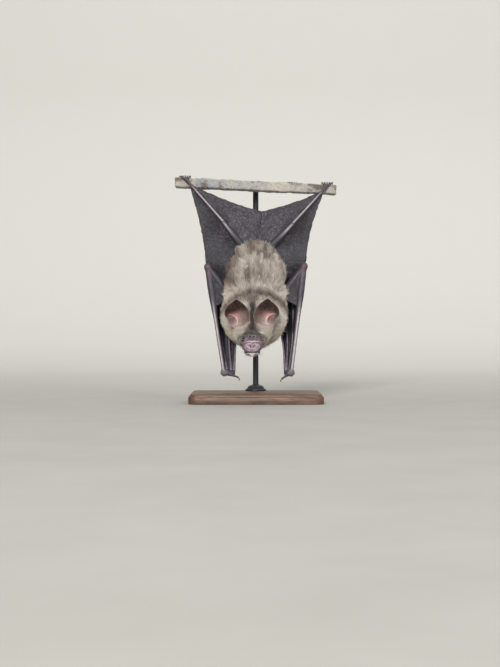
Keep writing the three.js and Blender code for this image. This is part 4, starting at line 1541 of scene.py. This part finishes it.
def hand_lines(joint):
    """The lines of the folded hand: each finger and fold, and the arm."""
    wrist, elbow = joint["wrist"], joint["elbow"]
    lines = [hand_line(joint, line) for line in HAND_LINES]
    arm = [
        shifted(wrist, joint["side"] * 0.8, 0.5, 4), shifted(between(wrist, elbow, 0.45), 0, 1, 0),
        shifted(between(wrist, elbow, 0.86), 0, 2, 0),
    ]
    return [*lines, arm]


def folded_tip(path, reach, gap):
    """From a knuckle over the top and back down the belly side, for a share of the path."""
    path = spline(path, 101)
    down = [path[int(100 * (1 - reach * t))] + (0, gap, 0) for t in (0.12, 0.4, 0.7, 1)]
    return [path[97], path[100] + (0, gap * 0.35, gap * 0.5), *down]


def membrane_colour(p, joint):
    """A little lighter along the leg, and between the legs where the skin is thin."""
    base = 1 + 0.3 * noise(p, 6, 71) + 0.2 * noise(p, 2.1, 72)
    hip, ankle = np.array(joint["hip"]), np.array(joint["ankle"])
    t = np.clip(share_along(p, hip, ankle), 0, 1)
    away = np.linalg.norm(p - (hip + (ankle - hip) * t[:, None]), axis=1)
    base = base + 0.25 * smooth(5, 1.5, away)
    between_legs = smooth(34, 18, np.abs(p[:, 0])) * smooth(128, 134, p[:, 2])
    return (base * (0.66 + 0.56 * between_legs))[:, None] * np.array((1.03, 0.99, 0.98))


def sheet(name, grid, joint, node):
    """A thin sheet of wing skin over a grid of places."""
    points, faces = slab(grid, settings().membrane_thickness * 1000)
    tint = membrane_colour(points, joint)
    close_up(piece(name, points, faces, finish_of(make_membrane), "membrane", (node,), tint))


class BAT_OT_membranes(bpy.types.Operator):
    """Build the skin between leg and flank, leg and tail, and elbow and shoulder"""

    bl_idname = "bat.membranes"
    bl_label = "Wing and tail skin"

    def execute(self, context):
        for side, joint in JOINTS.items():
            for part, make in (("wing", wing_grid), ("tail", tail_grid), ("arm", arm_grid)):
                sheet(f"{part}_web_{side}", make(joint), joint, f"{part}_membrane_{side}")
        return {"FINISHED"}


# how far each line's tip is folded back, as a share of the line
TIP_REACHES = (0.52, 0.42, 0.44, 0.34, 0.34)


class BAT_OT_hands(bpy.types.Operator):
    """Build the folded hands: pleated skin between the long finger bones"""

    bl_idname = "bat.hands"
    bl_label = "Folded hands"

    def execute(self, context):
        for side, joint in JOINTS.items():
            out, wrist, palm = parts_of(joint, "side wrist palm")
            node = f"hand_wing_{side}"
            lines = hand_lines(joint)
            grid = web([spline(line, 91) for line in lines], 14, 0.5, 80 + out, 0.16)
            sheet(f"hand_skin_{side}", eased(grid, 2), joint, node)
            tips = [spline(folded_tip(line, reach, 2.5), 61) for line, reach in zip(lines, TIP_REACHES)]
            sheet(f"hand_tip_skin_{side}", eased(web(tips, 14, 0.3, 90 + out, 0.14), 24), joint, node)
            bases = ((-palm + 1.2, 3.2, 2.0), (-palm * 0.62, 3.4, 2.0), (-palm * 0.2, 3.0, 2.0))
            tops = ((13.5, 20.5, 94), (21.5, 19.5, 96), (31.5, 13.4, 98))
            bones = []
            for k, (dx, dy, dz), (x, y, z) in zip((0, 2, 4), bases, tops):
                path = [shifted(wrist, out * dx, dy, dz), lines[k][1], (out * x, y, z)]
                bones.append(rounded(path, [1.15, 0.8, 0.72, 0.72, 1.1, 0.85], 60))
                tip = folded_tip(path, TIP_REACHES[k], 2.8)[1:]
                bones.append(rounded(tip, [0.85, 0.9, 0.5, 0.62, 0.45, 0.3], 40))
            bars(f"finger_bones_{side}", bones, finish_of(make_bone), "limb_skin", (node,), 12)
        return {"FINISHED"}


# ---- coat ---------------------------------------------------------------------------------

PATCH = 0.0028  # size of each lock's patch on the coat's unwrap
# borders of the coat's regions
TRUNK_FROM, RUMP_FROM, CROWN_FROM, BELLY_FROM, FACE_REACH = 89, 108, 78, 3, 19
WHISKERS = 34


class Roots:
    """Places where hair grows, with the skin's outward direction there."""

    def __init__(self, place, normal):
        self.place = place
        self.normal = normal

    def kept(self, mask):
        return Roots(self.place[mask], self.normal[mask])

    def __len__(self):
        return len(self.place)


def joined_roots(parts):
    return Roots(np.vstack([r.place for r in parts]), np.vstack([r.normal for r in parts]))


def mesh_arrays(name):
    mesh = bpy.data.objects[name].data
    points = np.empty(len(mesh.vertices) * 3)
    mesh.vertices.foreach_get("co", points)
    corners = np.empty(len(mesh.loops), np.int32)
    mesh.loops.foreach_get("vertex_index", corners)
    return points.reshape(-1, 3) * 1000, corners.reshape(-1, 4)


def scattered(name, density, seed):
    """Roots over a skin, as many to the square millimetre as the density says at each place."""
    rng = np.random.default_rng(seed)
    points, faces = mesh_arrays(name)
    normal = normals_of(points, faces)
    thirds = np.vstack([faces[:, [0, 1, 2]], faces[:, [0, 2, 3]]])
    a, b, c = (points[thirds[:, k]] for k in range(3))
    area = np.linalg.norm(np.cross(b - a, c - a), axis=1) / 2
    wanted = area * density((a + b + c) / 3)
    count = rng.poisson(wanted)
    pick = np.repeat(np.arange(len(thirds)), count)
    r = np.sqrt(rng.random(len(pick)))
    s = rng.random(len(pick))
    weight = np.stack([1 - r, r * (1 - s), r * s], 1)[..., None]
    corner = thirds[pick]
    return Roots((points[corner] * weight).sum(1), unit((normal[corner] * weight).sum(1)))


def from_ear(p, joint):
    """How far out, up and in places are from an ear's middle, and the rim's reach and depth there."""
    m = (p[:, 0] - joint["ear"][0]) * joint["side"]
    n = p[:, 2] - joint["ear"][2]
    return m, n, p[:, 1] - joint["ear"][1], *ear_rim(np.arctan2(n, m))


def in_ear(p, joint, margin):
    """Whether places lie inside an ear's cup, or nearer to its wall than the margin."""
    m, n, y, reach, depth = from_ear(p, joint)
    up = np.clip((EAR_ROOT[2] - y) / (EAR_ROOT[2] - depth), 0, 1)
    out, rise = ear_shape(np.linspace(0, 1, 60))
    share = np.interp(up, rise, out)
    away = np.hypot(m - EAR_ROOT[0] * (1 - share), n - EAR_ROOT[1] * (1 - share))
    return (away < reach * share + margin) & (y < EAR_ROOT[2]) & (y > depth - 1.5)


def ear_back_roots(side, seed):
    """Roots of the down on the back of an ear, thinning out towards its rim."""
    joint = JOINTS[side]
    roots = scattered(f"ear_skin_{side}", lambda p: 0 * p[:, 0] + 5.0, seed)
    m, n, y, _, depth = from_ear(roots.place, joint)
    share = (EAR_ROOT[2] - y) / (EAR_ROOT[2] - depth)
    outward = (roots.normal[:, 0] * joint["side"] * m + roots.normal[:, 2] * n) > 0.3 * np.hypot(m, n)
    outward &= roots.normal[:, 1] > 0.05
    chance = np.random.default_rng(seed).random(len(roots))
    return roots.kept(outward & (share > 0.1) & (chance > smooth(0.25, 0.9, share)))


def muzzle_distance(p):
    return np.linalg.norm((p - NOSE - (0, 4, 0)) * (1, 0.8, 1), axis=1)


def thigh_distance(p):
    """How far places are from the thighs' lines."""
    away = np.full(len(p), 99.0)
    for joint in JOINTS.values():
        hip, knee = np.array(joint["hip"], float), joint["knee"]
        t = np.clip(share_along(p, hip, knee), 0.2, 1)[:, None]
        away = np.minimum(away, np.linalg.norm(p - hip - (knee - hip) * t, axis=1))
    return away


def hair_density(p):
    """Locks to the square millimetre."""
    dense = 9.4 - 3.1 * smooth(86, 98, p[:, 2]) - 1.9 * smooth(4, 12, p[:, 1])
    dense = dense + 5.0 * smooth(20, 11, muzzle_distance(p))
    return dense * np.clip(1 - 1.1 * bare_share(p), 0, 1)


def hair_length(p):
    s = settings()
    back, ruff = s.back_hair * 1000, s.ruff_hair * 1000
    length = 1.3 + (ruff - 1.3) * smooth(9, 21, muzzle_distance(p))
    tuft = np.exp(-(((p[:, 2] - 58.3) / 2.4) ** 2))
    length = length + 0.9 * tuft * smooth(9, 5, np.abs(p[:, 0] - NOSE[0]))
    on_trunk = smooth(84, 97, p[:, 2])
    length = length + (back * (1 - 0.32 * smooth(100, 124, p[:, 2])) - length) * on_trunk
    return length * (1 - 0.35 * smooth(9, 3, thigh_distance(p)))


def hair_flow(p, normal):
    """The lie of the coat: out from the muzzle over the head, towards the tail on the trunk."""
    away = unit(p - (NOSE + (0, 2, 1)))
    tailward = np.stack([0.012 * p[:, 0], 0 * p[:, 0], 1 + 0 * p[:, 0]], 1)
    t = smooth(80, 96, p[:, 2])[:, None]
    under = smooth(2, 10, p[:, 1])[:, None]
    direction = away * (1 - t) + tailward * t
    direction = direction * (1 - under) + tailward * under
    stir = np.stack([noise(p, 5.5, 90 + k) for k in range(3)], 1)
    direction = unit(direction) + 0.34 * stir
    direction -= normal * (direction * normal).sum(1, keepdims=True)
    return unit(direction)


def locks(roots, rings, width, lift, rng, clump, pull):
    """Closed, tapering locks of hair, less those that would cross an ear. Returns their points and
    faces, how far each point is along its lock and round it, which roots they grow from, and the
    roots that their tips are drawn to."""
    p, normal = roots.place, roots.normal
    n = len(p)
    flow = hair_flow(p, normal)
    length = hair_length(p) * rng.uniform(0.65, 1.25, n)
    for joint in JOINTS.values():
        tip = p + flow * length[:, None]
        length = np.where(in_ear(tip, joint, 0.3), length * 0.4, length)
    lift = np.radians(lift) * rng.uniform(0.5, 1.5, n) * (1 + 0.7 * smooth(2.6, 1.2, length))
    flow = unit(flow + 0.2 * rng.normal(size=(n, 3)))
    first = flow * np.cos(lift)[:, None] + normal * np.sin(lift)[:, None]
    later = flow * np.cos(lift * 0.2)[:, None] - normal * np.sin(lift * 0.2)[:, None]
    t = np.append(np.linspace(0, 0.82, rings) ** 1.1, 1.0)
    step = (t - t**2 / 2)[None, :, None] * first[:, None] + (t**2 / 2)[None, :, None] * later[:, None]
    depth = np.minimum(0.3, 0.1 * length)[:, None, None]
    spine = p[:, None] - depth * normal[:, None] + step * length[:, None, None]
    heads = rng.choice(n, max(n // clump, 1), replace=False)
    tree = KDTree(len(heads))
    for i, k in enumerate(heads):
        tree.insert(p[k], i)
    tree.balance()
    nearest = np.array([heads[tree.find(q)[1]] for q in p])
    drawn = pull * rng.uniform(0.4, 1.2, n)[:, None, None] * (t**1.4)[None, :, None]
    spine = spine + (spine[nearest] - spine) * drawn
    clear = np.ones(n, bool)
    for joint in JOINTS.values():
        clear &= ~in_ear(spine[:, 1:].reshape(-1, 3), joint, -0.15).reshape(n, -1).any(1)
    grown = np.flatnonzero(clear)
    n = len(grown)
    spine, normal, nearest = spine[grown], normal[grown], nearest[grown]
    tangent = unit(np.gradient(spine, axis=1))
    side = unit(np.cross(normal[:, None], tangent))
    rise = np.cross(tangent, side)
    half = (width * rng.uniform(0.7, 1.3, n))[:, None] * (1 - 0.6 * t[:-1])[None] / 2
    corners = np.stack(
        [
            spine[:, :-1] + side[:, :-1] * half[..., None],
            spine[:, :-1] + rise[:, :-1] * half[..., None] * 0.85,
            spine[:, :-1] - side[:, :-1] * half[..., None],
        ],
        2,
    ).reshape(n, -1, 3)
    points = np.concatenate([corners, spine[:, -1:]], 1)
    size = 3 * rings + 1
    faces = [(2, 1, 0)]
    for r in range(rings - 1):
        for k in range(3):
            a, b = 3 * r + k, 3 * r + (k + 1) % 3
            faces += [(a, b, b + 3), (a, b + 3, a + 3)]
    last = 3 * (rings - 1)
    faces += [(last + k, last + (k + 1) % 3, size - 1) for k in range(3)]
    faces = (np.array(faces)[None] + size * np.arange(n)[:, None, None]).reshape(-1, 3)
    along = np.append(np.repeat(t[:-1], 3), 1.0)
    corner = np.append(np.tile((0, 0.5, 1), rings), 0.5)
    return points, faces, along, corner, grown, nearest


def unwrap(p, centre, axis):
    """A place on the skin as two numbers between 0 and 1, going round and along an axis."""
    q = p - centre
    a, b = [k for k in range(3) if k != axis]
    turn = np.arctan2(q[:, a], -q[:, b]) / (2 * np.pi) + 0.5
    lean = np.arccos(np.clip(q[:, axis] / np.linalg.norm(q, axis=1), -1, 1)) / np.pi
    return np.stack([turn, lean], 1) * (1 - 2 * PATCH) + PATCH / 2


def coat_piece(name, roots, rings, width, lift, seed, centre, axis, clump, pull):
    """One region of the coat as a joined mesh of locks."""
    rng = np.random.default_rng(seed)
    points, faces, along, corner, grown, nearest = locks(roots, rings, width, lift, rng, clump, pull)
    base = coat_colour(roots.place[grown])
    clump_shade = rng.uniform(0.88, 1.12, len(roots))[nearest]
    shade = clump_shade * rng.uniform(0.82, 1.16, len(grown))
    # painted shade: each lock darker towards its root, deep in the coat, and lighter at its tip
    painted_root_shade = 0.5 + 0.62 * along**0.75
    tint = base[:, None] * shade[:, None, None] * painted_root_shade[None, :, None]
    tint = np.clip(tint, 0, 1).reshape(-1, 3)
    thing = piece(name, points.reshape(-1, 3), faces, finish_of(make_hair), "fur", tint=tint)
    place = unwrap(roots.place[grown], np.array(centre, float), axis)[:, None]
    patch = np.stack([corner, along], 1)[None] * PATCH
    uv = (place + patch).reshape(-1, 2)
    layer = thing.data.uv_layers.new(name="OFBake")
    layer.data.foreach_set("uv", uv[faces.ravel()].astype(np.float32).ravel())


class BAT_OT_coat(bpy.types.Operator):
    """Build the coat as overlapping locks that follow its lie"""

    bl_idname = "bat.coat"
    bl_label = "Coat"

    def execute(self, context):
        seed = settings().coat_seed
        body = scattered("skin_body", hair_density, seed)
        body = body.kept(~in_block(body.place, HEAD_BLOCK, 0.5))
        head = scattered("skin_head", hair_density, seed + 1)
        head = head.kept(in_block(head.place, HEAD_BLOCK, 0.5) & ~in_block(head.place, MUZZLE_BLOCK, 0.6))
        muzzle = scattered("skin_muzzle", hair_density, seed + 2)
        muzzle = muzzle.kept(in_block(muzzle.place, MUZZLE_BLOCK, 0.6))
        roots = joined_roots((body, head, muzzle))
        keep = np.ones(len(roots), bool)
        for side, joint in JOINTS.items():
            keep &= ~in_ear(roots.place, joint, 0.5)
            keep &= np.linalg.norm(roots.place - eye_centre(side), axis=1) > 2.3
        roots = roots.kept(keep)
        p = roots.place
        trunk = p[:, 2] > TRUNK_FROM
        face = ~trunk & (muzzle_distance(p) < FACE_REACH)
        ruff = ~trunk & ~face
        belly = p[:, 1] > BELLY_FROM
        high = p[:, 2] > RUMP_FROM
        left = p[:, 0] < RUFF[0]
        middle = (0, 1, 100)
        crown = p[:, 2] > CROWN_FROM
        # name, place, rings, width, lift, centre and axis of the unwrap, clump and pull of each
        regions = (
            ("coat_rump", trunk & ~belly & high, 3, 0.34, 17, middle, 2, 17, 0.6),
            ("coat_shoulders", trunk & ~belly & ~high, 3, 0.34, 17, middle, 2, 17, 0.6),
            ("coat_belly", trunk & belly, 3, 0.36, 14, middle, 2, 17, 0.5),
            ("coat_crown", ruff & crown, 2, 0.26, 20, RUFF, 2, 11, 0.4),
            ("coat_ruff_left", ruff & ~crown & left, 2, 0.26, 21, RUFF, 2, 11, 0.4),
            ("coat_ruff_right", ruff & ~crown & ~left, 2, 0.26, 21, RUFF, 2, 11, 0.4),
            ("coat_face", face, 2, 0.18, 21, NOSE + (0, 12, 4), 1, 8, 0.3),
        )
        for k, (name, mask, rings, width, lift, *rest) in enumerate(regions):
            coat_piece(name, roots.kept(mask), rings, width, lift, seed + 10 + k, *rest)
        backs = joined_roots([ear_back_roots(side, seed + 30) for side in JOINTS])
        coat_piece("coat_ears", backs, 2, 0.15, 16, seed + 31, RUFF, 1, 6, 0.3)
        return {"FINISHED"}


class BAT_OT_whiskers(bpy.types.Operator):
    """Build the sparse bristles round the muzzle"""

    bl_idname = "bat.whiskers"
    bl_label = "Whiskers"

    def execute(self, context):
        rng = np.random.default_rng(settings().coat_seed + 40)
        points, faces = mesh_arrays("skin_muzzle")
        normal = normals_of(points, faces)
        a, b = points[:, 0] - NOSE[0], points[:, 2] - NOSE[2]
        ring = np.hypot(a / 9.0, (b - 0.5) / 7.4)
        below = (points[:, 1] < NOSE[1] + 9) & (b < 3)
        where = np.flatnonzero((np.abs(ring - 1) < 0.08) & below)
        bristles = []
        for k in rng.choice(where, WHISKERS, replace=False):
            root, out = points[k], normal[k]
            reach = rng.uniform(2.2, 5.0)
            lean = unit(out + 0.5 * unit(np.array((a[k], -4, b[k])))) + rng.normal(size=3) * 0.1
            path = [root - 0.4 * out, root + lean * reach * 0.5, root + lean * reach + (0, 0.5, -0.3)]
            bristles.append((spline(path, 7), profile([0.06, 0.045, 0.012], 7)))
        bars("whiskers", bristles, finish_of(make_bristle), "fur", (), 4)
        return {"FINISHED"}


# ---- stand --------------------------------------------------------------------------------


def turned(profile_points, sides):
    """A closed turned form about the upright axis, from (radius, height) pairs."""
    turn = np.linspace(0, 2 * np.pi, sides, endpoint=False)
    rows = [np.stack([r * np.cos(turn), r * np.sin(turn), z + 0 * turn], 1) for r, z in profile_points]
    return stacked(rows)


def stacked(rows):
    """A closed form from rings of points, one above the other, capped at both ends."""
    sides = len(rows[0])
    points = np.vstack([*rows, rows[0].mean(0)[None], rows[-1].mean(0)[None]])
    quads = grid_faces(len(rows), sides, True, flip=True)
    foot, crown = len(points) - 2, len(points) - 1
    i = np.arange(sides)
    j = (i + 1) % sides
    last = (len(rows) - 1) * sides
    caps = [np.stack([j, i, foot + 0 * i], 1), np.stack([last + i, last + j, crown + 0 * i], 1)]
    return points, np.vstack([quads[:, [0, 1, 2]], quads[:, [0, 2, 3]], *caps])


def rounded_outline(half_width, half_depth, corner):
    """A rectangle with round corners, anticlockwise."""
    outline = []
    for k, (sx, sy) in enumerate(((1, 1), (-1, 1), (-1, -1), (1, -1))):
        for t in np.linspace(k * np.pi / 2, (k + 1) * np.pi / 2, 10):
            outline.append((
                sx * (half_width - corner) + corner * math.cos(t),
                sy * (half_depth - corner) + corner * math.sin(t),
            ))
    return np.array(outline)


def slanted_block(centre, half, slope):
    """A straight-sided block tipped sideways by an angle in degrees."""
    c, s = math.cos(math.radians(slope)), math.sin(math.radians(slope))
    turn = np.array(((c, 0, s), (0, 1, 0), (-s, 0, c)))
    half = np.array(half, float)

    def distance(p):
        q = np.abs((p - np.array(centre)) @ turn) - half + 1.2
        return np.linalg.norm(np.maximum(q, 0), axis=-1) + np.minimum(q.max(-1), 0) - 1.2

    return distance, np.array(centre) - half - (0, 0, 4), np.array(centre) + half + (0, 0, 4)


ROD_FOOT = 9  # radius of the rod's foot
COLLAR = (  # the foot's outline as radii and heights above the base
    (8.8, 0), (8.9, 0.5), (8.5, 1.1), (7.4, 1.5), (7.0, 2.4),
    (6.2, 3.6), (4.6, 4.3), (3.4, 4.6), (3.0, 5.0), (2.5, 5.0),
)


class BAT_OT_stand(bpy.types.Operator):
    """Build the wooden base, the rod with its collar, and the strip of rock"""

    bl_idname = "bat.stand"
    bl_label = "Stand"

    def execute(self, context):
        low, high = solid_box("stand_base")
        half, top = (high - low)[:2] / 2, high[2]
        edge = [(0.5, 0), (0.12, 0.25), (0, 0.7), (0, top - 2.6), (0.25, top - 2.2), (0.8, top - 2.0)]
        edge += [
            (1.0 + 1.6 * (1 - math.cos(t)), top - 1.8 + 1.8 * math.sin(t)) for t in np.linspace(0, 1.5, 7)
        ]
        rings = []
        for inset, height in edge:
            outline = rounded_outline(half[0] - inset, half[1] - inset, 8 - inset)
            rings.append(np.column_stack([outline, np.full(len(outline), height)]))
        points, faces = stacked(rings)
        piece("stand_block", points, faces, finish_of(make_wood), "stand_wood", ("stand_base",))
        low, high = solid_box("stand_rod")
        back = high[1] - ROD_FOOT
        foot = low[2]
        points, faces = turned([(radius, foot + rise) for radius, rise in COLLAR], 64)
        points = points + (0, back, 0)
        piece("stand_collar", points, faces, finish_of(make_metal), "stand_metal", ("stand_rod",))
        perch = solid_middle("stand_perch")
        path = [
            (0, back, foot + 2.4), (0, back, perch[2] - 9), (0, back - 2.6, perch[2] - 2.6),
            (0, back - 9, perch[2]), (0, perch[1] + 4, perch[2]),
        ]
        rod = (spline(path, 97), np.full(97, 2.35))
        bars("stand_rod_bar", [rod], finish_of(make_metal), "stand_metal", ("stand_rod",), 32)
        clay = Clay(perch - (70, 9, 12), perch + (70, 9, 12), 0.5)
        clay.press(slanted_block(perch, (66.6, 5.9, 3.9), 2.7), 0.1)
        for size, depth, seed in ((9, 0.5, 61), (3.2, 0.3, 62), (1.3, 0.14, 63)):
            clay.roughen(size, depth, seed)
        points, faces = clay.skin(1)
        piece("stand_rock", points, faces, finish_of(make_rock), "stand_rock", ("stand_perch",))
        return {"FINISHED"}


# ---- stage --------------------------------------------------------------------------------


class BAT_OT_stage(bpy.types.Operator):
    """Set out the floor, the lights and the camera"""

    bl_idname = "bat.stage"
    bl_label = "Stage"

    def execute(self, context):
        scene = context.scene
        turn = np.linspace(0, np.pi / 2, 40)
        bend = np.column_stack([0 * turn, 0.7 + 0.5 * np.sin(turn), 0.5 - 0.5 * np.cos(turn)])
        path = np.vstack([[(0, -1.6, 0)], bend, [(0, 1.2, 2.0)]])
        points = np.stack([path + (-2.4, 0, 0), path + (2.4, 0, 0)], 1).reshape(-1, 3)
        floor = bpy.data.meshes.new("floor")
        floor.from_pydata(points.tolist(), [], grid_faces(len(path), 2, flip=True).tolist())
        floor.polygons.foreach_set("use_smooth", [True] * len(floor.polygons))
        floor.materials.append(finish_of(make_floor))
        thing = bpy.data.objects.new("floor", floor)
        scene.collection.objects.link(thing)
        thing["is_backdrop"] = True

        def lamp(name, place, aim, power, size, warmth=(1, 1, 1)):
            light = bpy.data.lights.new(name, "AREA")
            light.energy, light.size, light.color = power, size, warmth
            holder = bpy.data.objects.new(name, light)
            scene.collection.objects.link(holder)
            holder.location = place
            holder.rotation_euler = (Vector(aim) - Vector(place)).to_track_quat("-Z", "Y").to_euler()

        lamp("key", (-0.55, -2.5, 1.2), (0, 0, 0.09), 86, 0.6, (1, 0.985, 0.96))
        lamp("fill", (1.8, -1.9, 1.0), (0, 0, 0.09), 34, 1.6, (0.96, 0.97, 1))
        lamp("top", (0.2, 0.6, 2.2), (0.1, 0.2, 0), 16, 1.4)
        world = bpy.data.worlds.new("studio")
        world.use_nodes = True
        background = world.node_tree.nodes["Background"]
        background.inputs["Color"].default_value = (0.93, 0.95, 1, 1)
        background.inputs["Strength"].default_value = 0.47
        scene.world = world
        camera = bpy.data.objects.new("camera", bpy.data.cameras.new("camera"))
        scene.collection.objects.link(camera)
        camera.data.sensor_width = 36
        camera.data.lens = 65.8
        camera.data.clip_start = 0.02
        camera.location = (-0.0048, -1.0, 0.0562)
        camera.rotation_euler = (math.pi / 2, 0, 0)
        scene.camera = camera
        scene.view_settings.view_transform = "Standard"
        return {"FINISHED"}


# ---- running ------------------------------------------------------------------------------


class BAT_PT_panel(bpy.types.Panel):
    """Lists the builders in the sidebar"""

    bl_idname = "BAT_PT_panel"
    bl_label = "Hanging bat"
    bl_space_type = "VIEW_3D"
    bl_region_type = "UI"
    bl_category = "Bat"

    def draw(self, context):
        for name in BatSettings.__annotations__:
            self.layout.prop(context.scene.bat_settings, name)
        for builder in BUILDERS:
            self.layout.operator(builder.bl_idname)


BUILDERS = (
    BAT_OT_stage, BAT_OT_stand, BAT_OT_body, BAT_OT_head, BAT_OT_eyes, BAT_OT_ears, BAT_OT_arms,
    BAT_OT_legs, BAT_OT_claws, BAT_OT_membranes, BAT_OT_hands, BAT_OT_coat, BAT_OT_whiskers,
)


def register():
    for kind in (BatSettings, *BUILDERS, BAT_PT_panel):
        bpy.utils.register_class(kind)
    bpy.types.Scene.bat_settings = bpy.props.PointerProperty(type=BatSettings)


def unregister():
    del bpy.types.Scene.bat_settings
    for kind in reversed((BatSettings, *BUILDERS, BAT_PT_panel)):
        bpy.utils.unregister_class(kind)


def main():
    register()
    for builder in BUILDERS:
        group, name = builder.bl_idname.split(".")
        getattr(getattr(bpy.ops, group), name)()
    {"solids": SOLIDS_BOX, "dressed": [list(corner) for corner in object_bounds()]}


if __name__ == "__main__":
    main()
